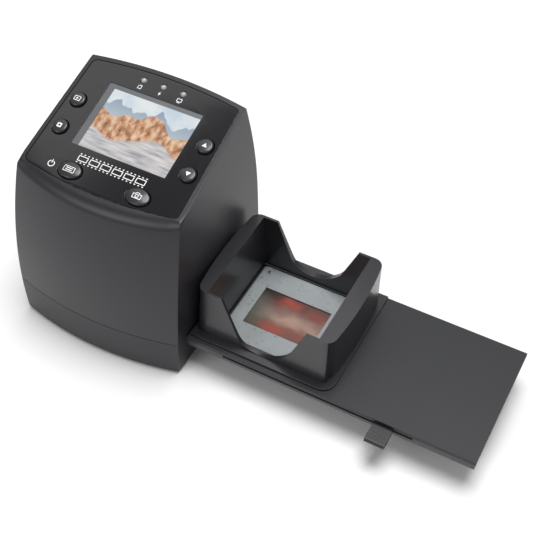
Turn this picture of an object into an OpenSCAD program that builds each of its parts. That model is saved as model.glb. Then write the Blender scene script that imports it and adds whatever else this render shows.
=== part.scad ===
// Film and slide scanner with a sloped console and a quick-feed slide tray.
// Drawn with X to the tray's side, Y to the back and Z up. The tray is at its working place.

/* [Housing] */
// Width across the middle of the bowed sides
body_w = 93; // [91:0.5:96]
// Depth from the front's foremost point to the back's rearmost
body_d = 92.3; // [91.3:0.1:93.3]
// Height of the console plane over the housing's centre
console_h = 101.2; // [99:0.2:104]
// Slope of the console
console_angle = 16.6; // [15:0.2:18]
// Thickness of the housing's walls
wall = 2.2; // [1.8:0.1:2.6]
// Height of the parting line between the two shells
seam_z = 22.9; // [22.9:0.1:24]
// Width of the shadow gap at the parting line
seam_gap = 0.3; // [0.2:0.05:0.5]
// Radius of the rounded front lip
lip_r = 3.4; // [2.5:0.1:4]
// Height that the rubber feet stand proud
foot_h = 1; // [0.8:0.1:2]

/* [Console] */
// Width of the screen's window
window_w = 51.2; // [50:0.1:53]
// Length of the screen's window, up the slope
window_l = 36.8; // [36.2:0.1:38]
// Place of the window's centre, up the slope from the housing's centre
window_v = 8.7; // [8:0.1:9.5]
// Width of the picture
screen_w = 48; // [46:0.5:49]
// Length of the picture
screen_l = 36; // [34:0.5:36]
// Diameter of a round button
button_d = 7.8; // [7:0.1:8.2]
// Width of an oval button
oval_w = 12.4; // [11:0.1:13]
// Length of an oval button, up the slope
oval_l = 8.6; // [8:0.1:9]
// Gap round each button
button_gap = 0.4; // [0.3:0.05:0.6]
// Height of the buttons over the overlay
button_rise = 1.7; // [1:0.1:2]
// Travel of the buttons
button_travel = 0.6; // [0.4:0.05:0.7]
// Diameter of an indicator lamp
lamp_d = 3; // [2.8:0.1:3.2]
// Distance between the indicator lamps
lamp_pitch = 10.9; // [10:0.1:12]

/* [Tray] */
// Width of the tray, front to back
tray_w = 69.2; // [68:0.2:70]
// Length of the tray outside the housing
tray_out = 149.3; // [146:0.5:156]
// Length of the tray inside the housing
tray_in = 87.5; // [86:0.5:88]
// Height of the tray's underside
tray_z = 14.4; // [14.2:0.1:15]
// Thickness of the whole tray
tray_t = 5.9; // [5.8:0.1:6.2]
// Thickness of the tray's cover
cover_t = 2.2; // [1.8:0.1:2.2]
// Width of the pusher's tab
tab_w = 10; // [9:0.5:12]
// Length of the tab in front of the tray
tab_l = 10.5; // [8:0.5:12]

/* [Hopper] */
// Width of the hopper across the middle of its bowed sides
hopper_w = 74.6; // [74:0.2:76]
// Length of the hopper, front to back
hopper_l = 57.9; // [57.7:0.1:58.3]
// Height of the hopper over the tray
hopper_h = 29.3; // [24:0.1:34]
// Width of the space for the slides, at its open top
cavity_w = 58.4; // [58:0.1:58.8]
// Length of the space for the slides, at its open top
cavity_l = 55.4; // [54.8:0.1:55.6]
// Narrowing of that space towards the tray
funnel = 3.6; // [3:0.2:4]
// Width of the finger cut-outs at the top
notch_top = 44; // [40:0.5:46]
// Width of the finger cut-outs at the bottom
notch_foot = 20.5; // [18:0.5:26]

/* [Slide] */
// Side of the slide's square mount
mount_side = 50; // [49.5:0.1:50.2]
// Thickness of the mount
mount_t = 1.6; // [1.2:0.1:1.7]
// Width of the film's opening
film_w = 36; // [34:0.5:36]
// Length of the film's opening
film_l = 24; // [23:0.5:24]

/* [Hidden] */
$fn = 96;

// Bowed surfaces of the housing; the front bulges about an axis square to the console
front_r = 259.2;
front_z = 11.1;
front_ring = 85.8;
front_foot = 13;
back_r = 260;
back_z = 62;
side_r = 750;
side_z = 38;
round_fn = 720;
// The console's height is taken over the origin, with this much of the housing behind it
back_d = 45;
front_d = body_d - back_d;
front_y = front_r - front_d;
back_y = back_d - back_r;
sin_c = sin(console_angle);
cos_c = cos(console_angle);
// Axis of the front's bulge, and the height of the console plane over it
ring_y = front_y - front_ring * cos_c;
ring_z = front_z - front_ring * sin_c;
front_rise = sin_c * front_y + cos_c * (console_h - front_z);
// Circle that the front follows at the parting line
seam_r = 168.3;
seam_y = seam_r - front_d + 0.27;
// Place of the back's arc on the console
back_v = cos_c * back_y + sin_c * (back_z - console_h);

// Console
overlay_top = -0.2;
overlay_t = 1.4;
overlay_fit = 0.2;
shelf_t = 1.5;
recess_n = overlay_top - overlay_t;
shelf_n = recess_n - shelf_t;
overlay_front = -30.1;
overlay_back = 39.1;
overlay_w_front = 84;
overlay_w_back = 81;
overlay_r = 3;
overlay_bow = 209.5;
overlay_v = overlay_front + overlay_bow;
round_x = 35;
round_v = [12.1, -4.3];
oval_at = [-17.6, 19.2];
oval_v = -23.3;
lamp_v = 34;
flange_t = 1.2;
flange_n = shelf_n - 0.2 - flange_t;
key_n = -9.7;
key_t = 1.2;
switch_h = 1.6;
stem_n = key_n + switch_h + 0.2 + button_travel;
// Depth of the screen frame's rails under the frame
shelf_rest = key_n + 0.05 - (shelf_n - 3.4);

// Tray and hopper
body_side = body_w / 2;
tray_left = body_side - tray_in;
tray_right = body_side + tray_out;
tray_y = 2.4;
tray_front = tray_y - tray_w / 2;
tray_back = tray_y + tray_w / 2;
tray_top = tray_z + tray_t;
cover_z = tray_top - cover_t;
base_inset = 0.3;
slide_x = 82.2;
slide_y = 4.3;
channel_z = 16;
channel_w = mount_side + 0.8;
slot_x = 66;
slot_end = 165.4;
slot_z = channel_z + 0.2;
tab_x = 145.8;
pusher_z = channel_z + 0.25;
pusher_t = 1.5;
push_gap = 0.2;
push_travel = tab_x - slot_x - 0.3;
gate_x = slide_x - push_travel;
gate_w = film_w + 2;
gate_l = film_l + 2;
hopper_x = 84.1;
hopper_y = 4.55;
hopper_bow = 185;
hopper_r = 5;
hopper_z = tray_top + hopper_h;
cavity_x = 83.4;
cavity_y = 4.5;
notch_r = 6.5;
notch_z = tray_top + 0.4;
plinth_h = 1.3;
plinth_front = tray_front + 3.5;
plinth_right = 122.6;
plinth_r = 6;

// Inside the housing
tunnel_gap = 0.4;
tunnel_wall = 1.8;
tunnel_floor_z = 12;
tunnel_z = tray_z - tunnel_gap;
gate_z = tray_top + 0.6;
gate_t = 1.9;
barrel_z = 50;
sensor_z = 66;
board_t = 1.6;
board_z = 31;
board_y = [20.5, 40];
board_half = 32.6;
board_top = board_z + board_t + 0.02;
board_screws = [[-30, 23.5], [30, 23.5], [-30, 36.8], [30, 36.8]];
usb_x = -22;
usb_h = 4.2;
jack_x = -7;
jack_h = 7.2;
card_x = 14;
card_h = 3.2;
jack_r = 1.8;
usb_z = board_top + usb_h / 2;
jack_z = board_top + jack_h / 2;
card_z = board_top + card_h / 2;
// Where the screen's and the sensor's ribbons reach the main board
ribbon_x = [-8.5, 5.6];
ribbon_y = 24.4;
ribbon_w = 10;
key_posts = [[-31, -21], [31, -21], [-35, 27], [35, 27]];
base_z = foot_h;
boss_r = 3;
boss_top = 43;
pilot_r = 1.15;
screw_r = 1.1;
shaft_r = 1.5;
// The housing's screws stand beside the tray's tunnel
boss_x = 37;
boss_y = [10.9 - front_d, back_d - 5.8];
boss_at = [for (x = [-boss_x, boss_x], y = boss_y) [x, y]];
foot_at = [[-34, -28], [34, -28], [-34, 32], [34, 32]];
foot_r = 4.5;
// Ribs end inside the side walls, and the gate plate stops short of them
rib_end = body_side - 1.6;
rib_l = rib_end - boss_x;
rib_t = 1.5;
gate_half = body_side - wall - 0.7;
far = 400;
eps = 0.01;
// Rounded corners cross the arcs that they join by this much
over = 0.02;

// The whole part is centred over its footprint
home_x = -(tray_right - body_side) / 2;
home_y = front_d - body_d / 2;

module at_home() {
    translate([home_x, home_y, 0]) children();
}

// Places children on the console: x across, v up the slope, n out of the plane
module on_console(x = 0, v = 0, n = 0) {
    translate([0, 0, console_h])
        rotate([console_angle, 0, 0])
            translate([x, v, n]) children();
}

module block(lo, hi) {
    translate(lo) cube(hi - lo);
}

// ---- Housing form ----

// Bowed sides, moved inwards by g
module side_form(g) {
    rotate([90, 0, 0])
        linear_extrude(height = far, center = true)
            intersection() {
                translate([body_side - side_r, side_z]) circle(side_r - g, $fn = round_fn);
                translate([side_r - body_side, side_z]) circle(side_r - g, $fn = round_fn);
            }
}

// Points of the front's long arc, moved inwards by g, from its foot up to angle a
function front_arc(g, a, n = 12) =
    [for (i = [0:n]) let (t = front_foot + (a - front_foot) * i / n)
        (front_r - g) * [cos(t), sin(t)] - [front_ring, 0]];

// Turns a profile about the front's axis
module about_front() {
    translate([0, ring_y, ring_z]) rotate([console_angle, 0, 0])
        rotate_extrude($fn = round_fn / 2) children();
}

// Bulging front whose top edge is rolled over into the console plane
module front_form() {
    hc = front_rise - lip_r;
    rc = sqrt(pow(front_r - lip_r, 2) - hc * hc) - front_ring;
    lip_angle = asin(hc / (front_r - lip_r));
    wall_arc = front_arc(0, lip_angle);
    about_front() polygon(concat([[0, 10], [wall_arc[0][0], 10]], wall_arc,
        corner([rc, hc], lip_r, lip_angle + 1, 90), [[0, front_rise]]));
}

// Ball back that runs into an upright round wall below its widest level, moved inwards by g
module back_form(g) {
    r = back_r - g;
    translate([0, back_y, 0])
        rotate_extrude($fn = round_fn / 2)
            union() {
                intersection() {
                    translate([0, back_z]) circle(r, $fn = round_fn);
                    translate([0, back_z]) square([r, 90]);
                }
                translate([0, -10]) square([r, back_z + 10]);
            }
}

module level_band(z_low, z_high) {
    block([-far / 2, -far / 2, z_low], [far / 2, far / 2, z_high]);
}

// The housing's outside between two levels
module outer_form(z_low, z_high) {
    intersection() {
        side_form(0);
        front_form();
        back_form(0);
        level_band(z_low, z_high);
    }
}

module front_block(arc) {
    top = arc[len(arc) - 1];
    polygon(concat([[0, 10], [arc[0][0], 10]], arc, [[0, top[1]]]));
}

// The same form moved inwards by g, and by t under the console
module inner_form(g, t, z_low, z_high) {
    intersection() {
        side_form(g);
        about_front() front_block(front_arc(g, 38));
        back_form(g);
        on_console(0, 0, -t - far / 2) cube([far, far, far], center = true);
        level_band(z_low, z_high);
    }
}

// Upright walls that follow the housing's plan at the parting line, moved inwards by g
module plan_form(g, z_low, z_high) {
    half = body_side - pow(side_z - seam_z, 2) / (2 * side_r) - g;
    translate([0, 0, z_low])
        linear_extrude(height = z_high - z_low) intersection() {
            translate([0, seam_y]) circle(seam_r - g, $fn = round_fn);
            translate([0, back_y]) circle(back_r - g, $fn = round_fn);
            square([2 * half, far], center = true);
        }
}

// ---- Flat outlines ----

// Points of a rounded corner about c, from angle a1 to a2
function corner(c, r, a1, a2, n = 8) =
    [for (i = [0:n]) c + r * [cos(a1 + (a2 - a1) * i / n), sin(a1 + (a2 - a1) * i / n)]];

// The same, where the corner crosses a large arc about [0, c_arc], then leaves it outwards
function arc_corner(c, r, c_arc, n = 8) =
    let (a = atan2(c[1] - c_arc, c[0]), out = [cos(a), sin(a)])
    concat(corner(c, r, 0, a * (n - 1) / n, n - 1), [c + (r + over) * out, c + (r + 6) * out]);

function mirrored(points) = [for (i = [len(points) - 1:-1:0]) [-points[i][0], points[i][1]]];

function turned(points) = [for (i = [len(points) - 1:-1:0]) points[i]];

// Outline of the console overlay, grown by e
module overlay_outline(e = 0) {
    arc_front = overlay_bow + e;
    arc_back = overlay_back - back_v + e;
    r = overlay_r + e;
    xf = overlay_w_front / 2 + e - r;
    xb = overlay_w_back / 2 + e - r;
    front_c = [xf, overlay_v - sqrt(pow(arc_front - r, 2) - xf * xf)];
    back_c = [xb, back_v + sqrt(pow(arc_back - r, 2) - xb * xb)];
    right = concat(turned(arc_corner(front_c, r, overlay_v)), arc_corner(back_c, r, back_v));
    intersection() {
        translate([0, overlay_v]) circle(arc_front, $fn = round_fn);
        translate([0, back_v]) circle(arc_back, $fn = round_fn);
        polygon(concat(right, mirrored(right)));
    }
}

// Rectangle of w by l whose two sides along Y bow outwards on arcs, with rounded corners
module bowed_outline(w, l, bow, r) {
    c = w / 2 - bow;
    py = l / 2 - r;
    px = c + sqrt(pow(bow - r, 2) - py * py);
    a = atan2(py, px - c);
    out = [cos(a), sin(a)];
    back = concat([[px, py] + (r + 6) * out, [px, py] + (r + over) * out],
        corner([px, py], r, a + (90 - a) / 8, 90, 7));
    half = concat([for (p = turned(back)) [p[0], -p[1]]], back);
    intersection() {
        translate([c, 0]) circle(bow, $fn = round_fn);
        translate([-c, 0]) circle(bow, $fn = round_fn);
        polygon(concat(half, mirrored(half)));
    }
}

// Oval w wide and l high
module oval(w, l) {
    n = 56;
    polygon([for (i = [0:n - 1]) [w / 2 * cos(360 * i / n), l / 2 * sin(360 * i / n)]]);
}

module rounded_rect(w, l, r) {
    square([w - 2 * r, l], center = true);
    square([w, l - 2 * r], center = true);
    for (x = [-1, 1], y = [-1, 1]) translate([x * (w / 2 - r), y * (l / 2 - r)]) circle(r);
}

// ---- Housing ----

module console_holes(extra) {
    for (x = [-1, 1], v = round_v) translate([x * round_x, v])
        circle(button_d / 2 + button_gap + extra);
    for (x = oval_at) translate([x, oval_v])
        oval(oval_w + 2 * (button_gap + extra), oval_l + 2 * (button_gap + extra));
    for (i = [-1, 0, 1]) translate([i * lamp_pitch, lamp_v]) circle(lamp_d / 2 + 0.1 + extra / 4);
}

module screw_bosses(z_low, z_high) {
    for (p = boss_at) {
        translate([p[0], p[1], z_low]) cylinder(r = boss_r, h = z_high - z_low);
        // Rib out to the side wall
        x = p[0] < 0 ? p[0] - rib_l : p[0];
        translate([x, p[1] - rib_t / 2, z_low]) cube([rib_l, rib_t, z_high - z_low]);
    }
}

module upper_shell() {
    color("#4a4a4d") at_home() difference() {
        union() {
            difference() {
                outer_form(seam_z, far);
                inner_form(wall, -shelf_n, seam_z - 1, far);
            }
            screw_bosses(seam_z + 2.4, boss_top);
            // Posts that the key board hangs from
            for (p = key_posts) on_console(p[0], p[1], key_n + 0.02)
                cylinder(r = 2.3, h = shelf_n - key_n + 0.5);
        }
        // Groove for the lower shell's tongue
        plan_form(wall / 2, seam_z - 1, seam_z + 2.3);
        on_console(0, 0, recess_n) linear_extrude(height = 6) overlay_outline(overlay_fit);
        on_console(0, 0, shelf_n - 1) linear_extrude(height = 6) console_holes(0.3);
        on_console(0, window_v, shelf_n - 1)
            linear_extrude(height = 6) square([window_w + 1.6, window_l + 1.6], center = true);
        for (p = boss_at) translate([p[0], p[1], seam_z])
            cylinder(r = pilot_r, h = boss_top - seam_z - 1.5);
        for (p = key_posts) on_console(p[0], p[1], key_n - 1) cylinder(r = pilot_r, h = 7);
        socket_openings();
    }
}

module socket_openings() {
    translate([usb_x, 48, usb_z]) rotate([90, 0, 0])
        linear_extrude(height = 10) rounded_rect(9.2, 5.4, 1);
    translate([jack_x, 38, jack_z]) rotate([-90, 0, 0]) cylinder(r = 3.3, h = 10);
    translate([card_x, 48, card_z]) rotate([90, 0, 0])
        linear_extrude(height = 10) rounded_rect(26, 3.2, 0.8);
}

module base_shell() {
    color("#464649") at_home() difference() {
        union() {
            difference() {
                outer_form(base_z, seam_z - seam_gap);
                inner_form(wall, 5, base_z + wall, far);
            }
            // Tongue inside the upper shell
            difference() {
                plan_form(wall / 2 + 0.1, seam_z - 2, seam_z + 2);
                plan_form(wall - 0.2, seam_z - 3, seam_z + 3);
            }
            // Tunnel that carries the tray
            block([-rib_end, tray_front - tunnel_gap - tunnel_wall, tunnel_floor_z],
                [rib_end, tray_back + tunnel_gap + tunnel_wall, gate_z - 0.1]);
            screw_bosses(base_z + 0.5, seam_z - 0.5);
            // Their noses reach up inside the groove
            for (p = boss_at) translate([p[0], p[1], seam_z - 1]) cylinder(r = 1.9, h = 3);
            // Ribs under the tunnel
            for (x = [-32, 32]) block([x - 0.8, tray_front, base_z + 1], [x + 0.8, tray_back, 13]);
        }
        block([tray_left - 0.5, tray_front - tunnel_gap, tunnel_z],
            [60, tray_back + tunnel_gap, seam_z + 3]);
        // Way out for a scanned slide, on the left
        block([-60, slide_y - channel_w / 2 - 0.4, channel_z - 0.4],
            [tray_left, slide_y + channel_w / 2 + 0.4, cover_z + 0.2]);
        translate([gate_x, slide_y, tunnel_floor_z - 1])
            linear_extrude(height = 4) square([gate_w + 2, gate_l + 2], center = true);
        for (p = boss_at) {
            translate([p[0], p[1], base_z - 1]) cylinder(r = screw_r + 0.2, h = 40);
            translate([p[0], p[1], base_z - 1]) cylinder(r = 2.3, h = 4.4);
        }
        for (p = foot_at) translate([p[0], p[1], base_z - eps]) cylinder(r = foot_r + 0.1, h = 0.7);
        // Pocket of the leaf spring
        block([-12, tray_back, 15], [12, tray_back + tunnel_gap + 1.2, 19.4]);
    }
}

module control_panel() {
    color("#303033") at_home() on_console(0, 0, recess_n + 0.02)
        linear_extrude(height = overlay_t - 0.02) difference() {
            overlay_outline(0);
            console_holes(0);
            translate([0, window_v]) square([window_w, window_l], center = true);
        }
}

module screen_frame() {
    color("#6c6e72") at_home() on_console(0, window_v, shelf_n - 3.4) difference() {
        union() {
            linear_extrude(height = 3.3) square([58, 45], center = true);
            // Rails that rest on the key board
            for (x = [-28, 28]) translate([x, 0, shelf_rest])
                linear_extrude(height = 0.1 - shelf_rest) square([2, 36], center = true);
        }
        translate([0, 0.3, 2.1]) linear_extrude(height = 4)
            square([screen_w + 0.3, screen_l + 0.3], center = true);
    }
}

module screen_glass() {
    color("#a9b6c4") at_home() on_console(0, window_v + 0.3, shelf_n - 1.25)
        linear_extrude(height = 1.05) square([screen_w, screen_l], center = true);
}

module indicator_lamps() {
    color("#c9cbce") at_home() for (i = [-1, 0, 1]) on_console(i * lamp_pitch, lamp_v, 0) {
        translate([0, 0, key_n + 0.1]) cylinder(r = lamp_d / 2 + 0.4, h = 1);
        translate([0, 0, key_n + 0.1]) cylinder(r = lamp_d / 2, h = -key_n - 0.9);
        intersection() {
            translate([0, 0, -0.9]) sphere(r = lamp_d / 2);
            translate([0, 0, -1]) cylinder(r = lamp_d / 2 - 0.02, h = 4);
        }
    }
}

// ---- Buttons ----

module button_dome(h) {
    dome = 11;
    intersection() {
        linear_extrude(height = h) children();
        translate([0, 0, h - dome]) sphere(r = dome, $fn = 180);
    }
}

module round_button(x, v) {
    color("#3c3c40") at_home() on_console(x, v, flange_n) {
        button_dome(overlay_top + button_rise - flange_n) circle(button_d / 2);
        cylinder(r = button_d / 2 + 1.3, h = flange_t);
        translate([0, 0, stem_n - flange_n]) cylinder(r = 1.2, h = flange_n - stem_n + eps);
    }
}

module oval_button(x) {
    color("#3c3c40") at_home() on_console(x, oval_v, flange_n) {
        button_dome(overlay_top + button_rise - flange_n) oval(oval_w, oval_l);
        linear_extrude(height = flange_t) oval(oval_w + 2.4, oval_l + 2.4);
        translate([0, 0, stem_n - flange_n]) cylinder(r = 1.2, h = flange_n - stem_n + eps);
    }
}

module button_review() { round_button(-round_x, round_v[0]); }
module button_frame() { round_button(-round_x, round_v[1]); }
module button_up() { round_button(round_x, round_v[0]); }
module button_down() { round_button(round_x, round_v[1]); }
module button_menu() { oval_button(oval_at[0]); }
module button_scan() { oval_button(oval_at[1]); }

// ---- Boards ----

module key_board() {
    color("#2f5d3a") at_home() on_console(0, 3.5, key_n - key_t)
        linear_extrude(height = key_t) difference() {
            rounded_rect(78, 62, 2);
            square([30, 20], center = true);
            for (p = key_posts) translate([p[0], p[1] - 3.5]) circle(shaft_r);
        }
}

module key_switches() {
    spots = [
        [-round_x, round_v[0]], [-round_x, round_v[1]], [round_x, round_v[0]],
        [round_x, round_v[1]], [oval_at[0], oval_v], [oval_at[1], oval_v]
    ];
    color("#b9bcc0") at_home() for (p = spots) on_console(p[0], p[1], key_n + 0.02) {
        linear_extrude(height = switch_h - 0.5) rounded_rect(6, 6, 0.6);
        translate([0, 0, switch_h - 0.5]) cylinder(r = 1.5, h = 0.5);
    }
}

module main_board() {
    color("#2f5d3a") at_home() difference() {
        block([-board_half, board_y[0], board_z], [board_half, board_y[1], board_z + board_t]);
        for (p = board_screws) translate([p[0], p[1], board_z - 1]) cylinder(r = shaft_r, h = 4);
    }
}

module board_chips() {
    color("#1d1d1f") at_home() {
        // Processor, memory, converter and a capacitor
        block([-26, 23, board_top], [-16, 33, board_top + 1.2]);
        block([14, 21.8, board_top], [24, 26.6, board_top + 1]);
        block([-9, 27, board_top], [-5, 30, board_top + 1.1]);
        translate([-13.2, 33.5, board_top]) cylinder(r = 2.1, h = 5.5);
        // Connectors of the two ribbons
        for (x = ribbon_x)
            block([x - 6, ribbon_y - 1.2, board_top], [x + 6, ribbon_y + 1.4, board_top + 1.6]);
    }
}

module usb_socket() {
    color("#c4c7ca") at_home() translate([usb_x, 0, usb_z]) {
        difference() {
            translate([0, 42.9, 0]) rotate([90, 0, 0])
                linear_extrude(height = 8) rounded_rect(8, usb_h, 0.6);
            translate([0, 50, 0]) rotate([90, 0, 0])
                linear_extrude(height = 14) rounded_rect(7, 3.2, 0.4);
        }
        block([-2.6, 35.5, -0.5], [2.6, 41.8, 0.5]);
    }
}

module tv_jack() {
    color("#29292c") at_home() translate([jack_x, 0, jack_z]) difference() {
        union() {
            block([-3.6, 31, -jack_h / 2], [3.6, 41.4, jack_h / 2]);
            translate([0, 41, 0]) rotate([-90, 0, 0]) cylinder(r = 3, h = 3);
        }
        translate([0, 34, 0]) rotate([-90, 0, 0]) cylinder(r = jack_r, h = 12);
    }
}

module card_socket() {
    color("#b9bcc0") at_home() translate([card_x, 0, card_z]) difference() {
        block([-13.8, 28, -card_h / 2], [13.8, 41.2, card_h / 2]);
        block([-12.3, 29, -card_h / 2 + 0.4], [12.3, 50, card_h / 2 - 0.4]);
    }
}

// ---- Optics ----

module film_gate() {
    y1 = tray_front - tunnel_gap - tunnel_wall;
    y2 = tray_back + tunnel_gap + 0.8;
    color("#39393c") at_home() difference() {
        union() {
            block([-gate_half, y1, gate_z], [gate_half, y2, gate_z + gate_t]);
            // Stand-offs for the main board
            for (p = board_screws) translate([p[0], p[1], gate_z + 0.5])
                cylinder(r = 2.6, h = board_z - gate_z - 0.52);
            // Rim that seats the light tunnel
            translate([gate_x, slide_y, gate_z + gate_t - eps])
                linear_extrude(height = 1.5) square([gate_w + 12, gate_l + 12], center = true);
        }
        translate([gate_x, slide_y, gate_z - 1])
            linear_extrude(height = 9) square([gate_w, gate_l], center = true);
        translate([gate_x, slide_y, gate_z + gate_t])
            linear_extrude(height = 9) square([gate_w + 8, gate_l + 8], center = true);
        for (p = board_screws) translate([p[0], p[1], gate_z + gate_t]) cylinder(r = pilot_r, h = 12);
        for (p = boss_at) translate([p[0], p[1], gate_z - 1]) cylinder(r = boss_r + 0.6, h = 6);
    }
}

// Pyramid between two levels, w by l at each
module frustum(w1, l1, w2, l2, h) {
    intersection() {
        rotate([90, 0, 0]) linear_extrude(height = far, center = true)
            polygon([[-w1 / 2, 0], [w1 / 2, 0], [w2 / 2, h], [-w2 / 2, h]]);
        rotate([90, 0, 90]) linear_extrude(height = far, center = true)
            polygon([[-l1 / 2, 0], [l1 / 2, 0], [l2 / 2, h], [-l2 / 2, h]]);
    }
}

module light_tunnel() {
    z1 = gate_z + gate_t + 0.02;
    h = barrel_z - z1;
    skin = 1.4;
    w = gate_w + 7.6;
    l = gate_l + 7.6;
    color("#2a2a2c") at_home() translate([gate_x, slide_y, z1]) difference() {
        union() {
            frustum(w, l, 21, 21, h);
            translate([0, 0, h - 3]) linear_extrude(height = 3) square([26, 26], center = true);
            for (x = [-11, 11]) translate([x, 11, h - 0.01]) cylinder(r = 2, h = sensor_z - barrel_z);
            for (x = [-11, 11]) translate([x, -11, h - 0.01]) cylinder(r = 2, h = sensor_z - barrel_z);
        }
        translate([0, 0, -eps]) frustum(w - 2 * skin, l - 2 * skin, 17, 17, h - 2);
        translate([0, 0, h - 5]) cylinder(r = 6.6, h = 9);
        for (x = [-11, 11], y = [-11, 11])
            translate([x, y, h + 4]) cylinder(r = pilot_r, h = sensor_z - barrel_z);
    }
}

module lens_barrel() {
    color("#232325") at_home() translate([gate_x, slide_y, 0]) difference() {
        union() {
            translate([0, 0, barrel_z - 4.6]) cylinder(r = 6.5, h = 15);
            translate([0, 0, barrel_z + 0.1]) cylinder(r = 7.6, h = 2);
        }
        translate([0, 0, barrel_z - 5]) cylinder(r = 4.2, h = 3.5);
        translate([0, 0, barrel_z - 5]) cylinder(r = 3.2, h = 20);
        translate([0, 0, barrel_z + 6]) cylinder(r = 5, h = 12);
    }
}

// A biconvex element of radius r, thickness t at its middle and surface radius s
module lens_element(r, t, s) {
    intersection() {
        translate([0, 0, t / 2 - s]) sphere(r = s, $fn = 200);
        translate([0, 0, s - t / 2]) sphere(r = s, $fn = 200);
        translate([0, 0, -t]) cylinder(r = r, h = 2 * t);
    }
}

module lens_glass() {
    color("#bcd3da") at_home() translate([gate_x, slide_y, 0]) {
        translate([0, 0, barrel_z - 3.1]) lens_element(4.15, 2.6, 14);
        translate([0, 0, barrel_z + 7.9]) lens_element(4.9, 3, 16);
    }
}

module sensor_board() {
    color("#2f5d3a") at_home() translate([gate_x, slide_y, sensor_z + 0.05]) difference() {
        linear_extrude(height = 1.2) rounded_rect(30, 30, 2);
        for (x = [-11, 11], y = [-11, 11]) translate([x, y, -1]) cylinder(r = shaft_r, h = 4);
    }
}

module image_sensor() {
    color("#4b5663") at_home() translate([gate_x, slide_y, sensor_z - 1.6])
        linear_extrude(height = 1.6) square([10, 9], center = true);
}

module light_box() {
    w = gate_w + 10;
    l = gate_l + 10;
    color("#e4e5e6") at_home() translate([gate_x, slide_y, base_z + wall + 0.02]) difference() {
        linear_extrude(height = 8.6) square([w, l], center = true);
        translate([0, 0, 1.2]) linear_extrude(height = 6.2) square([w - 3, l - 3], center = true);
        translate([0, 0, 7]) linear_extrude(height = 4) square([w - 5, l - 5], center = true);
    }
}

module backlight_board() {
    color("#d8dad9") at_home() translate([gate_x, slide_y, base_z + wall + 1.25])
        linear_extrude(height = 1) square([gate_w + 6.6, gate_l + 6.6], center = true);
}

module backlight_leds() {
    color("#efe9c8") at_home() for (x = [-12, 0, 12], y = [-6.5, 6.5])
        translate([gate_x + x, slide_y + y, base_z + wall + 2.27])
            linear_extrude(height = 1) square([3.4, 2.8], center = true);
}

module diffuser() {
    color("#f2f3f3") at_home() translate([gate_x, slide_y, base_z + wall + 7.1])
        linear_extrude(height = 1.5) square([gate_w + 4.6, gate_l + 4.6], center = true);
}

// ---- Ribbons, spring, fasteners and feet ----

// Ribbon of width w whose path runs through points in Y and Z
module ribbon(x, w, path) {
    t = 0.35;
    rotate([90, 0, 90]) translate([0, 0, x - w / 2]) linear_extrude(height = w)
        polygon(concat(path, [for (i = [len(path) - 1:-1:0]) path[i] + [t, t]]));
}

module screen_ribbon() {
    color("#b4763a") at_home()
        ribbon(ribbon_x[0], ribbon_w, [[8, 96.2], [8, 84], [ribbon_y, 70], [ribbon_y, board_top + 1.65]]);
}

module sensor_ribbon() {
    color("#b4763a") at_home() ribbon(ribbon_x[1], ribbon_w, [[14, sensor_z + 1.4],
        [20, sensor_z + 1.8], [ribbon_y, 60], [ribbon_y, board_top + 1.65]]);
}

module tray_spring() {
    color("#c4c7ca") at_home() translate([0, tray_back + tunnel_gap + 0.9, 15.2])
        linear_extrude(height = 4) intersection() {
            difference() {
                translate([0, 40 - 1.1]) circle(40, $fn = 360);
                translate([0, 40 - 1.1]) circle(39.7, $fn = 360);
            }
            translate([-9.4, -3]) square([18.8, 4]);
        }
}

// Screw with a pan head down at z, its shank upwards
module screw(x, y, z, length, head) {
    translate([x, y, z]) difference() {
        union() {
            cylinder(r = head, h = 1.5);
            translate([0, 0, 1.5 - eps]) cylinder(r = screw_r, h = length);
        }
        translate([0, 0, -eps]) linear_extrude(height = 0.8) {
            square([2.4, 0.6], center = true);
            square([0.6, 2.4], center = true);
        }
    }
}

module case_screws() {
    color("#8d9094") at_home() for (p = boss_at) screw(p[0], p[1], base_z + 1.8, 36, 2);
}

module inner_screws() {
    color("#8d9094") at_home() {
        for (x = [-11, 11], y = [-11, 11])
            translate([gate_x + x, slide_y + y, sensor_z + 2.8]) mirror([0, 0, 1])
                screw(0, 0, 0, 8, 1.9);
        for (p = board_screws) translate([p[0], p[1], board_top + 1.5]) mirror([0, 0, 1])
            screw(0, 0, 0, 6, 2);
        for (p = key_posts) on_console(p[0], p[1], key_n - key_t - 1.52) screw(0, 0, 0, 6, 2);
    }
}

module rubber_feet() {
    color("#1b1b1c") at_home() for (p = foot_at) translate([p[0], p[1], 0])
        cylinder(r = foot_r, h = foot_h + 0.65);
}

// ---- Tray ----

module tray_base() {
    y1 = tray_front + base_inset;
    y2 = tray_back - base_inset;
    x2 = tray_right - base_inset;
    color("#5a5b5e") at_home() difference() {
        block([tray_left, y1, tray_z], [x2, y2, cover_z - 0.02]);
        // Channel for the slide and the pusher, open at the left end
        block([tray_left - 1, slide_y - channel_w / 2, channel_z],
            [tray_right - 8, slide_y + channel_w / 2, cover_z + 1]);
        block([slot_x, y1 - 1, slot_z], [slot_end, slide_y, cover_z - 0.2]);
        translate([gate_x, slide_y, tray_z - 1])
            linear_extrude(height = 5) square([gate_w + 1, gate_l + 1], center = true);
        // Pockets under the rails
        for (x = [tray_left + 6:30:tray_right - 40], y = [y1 + 2.2, slide_y + channel_w / 2 + 1.6])
            if (y > 0 || x + 26 < slot_x - 2 || x > slot_end + 2)
                block([x, y, tray_z - 1], [x + 26, y + (y > 0 ? y2 - y - 1.8 : 7.2), tray_z + 1.8]);
        for (p = tray_screw_at()) {
            translate([p[0], p[1], tray_z - 1]) cylinder(r = 1.3, h = 6);
            translate([p[0], p[1], tray_z - 1]) cylinder(r = 2.4, h = 2.4);
        }
    }
}

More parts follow.
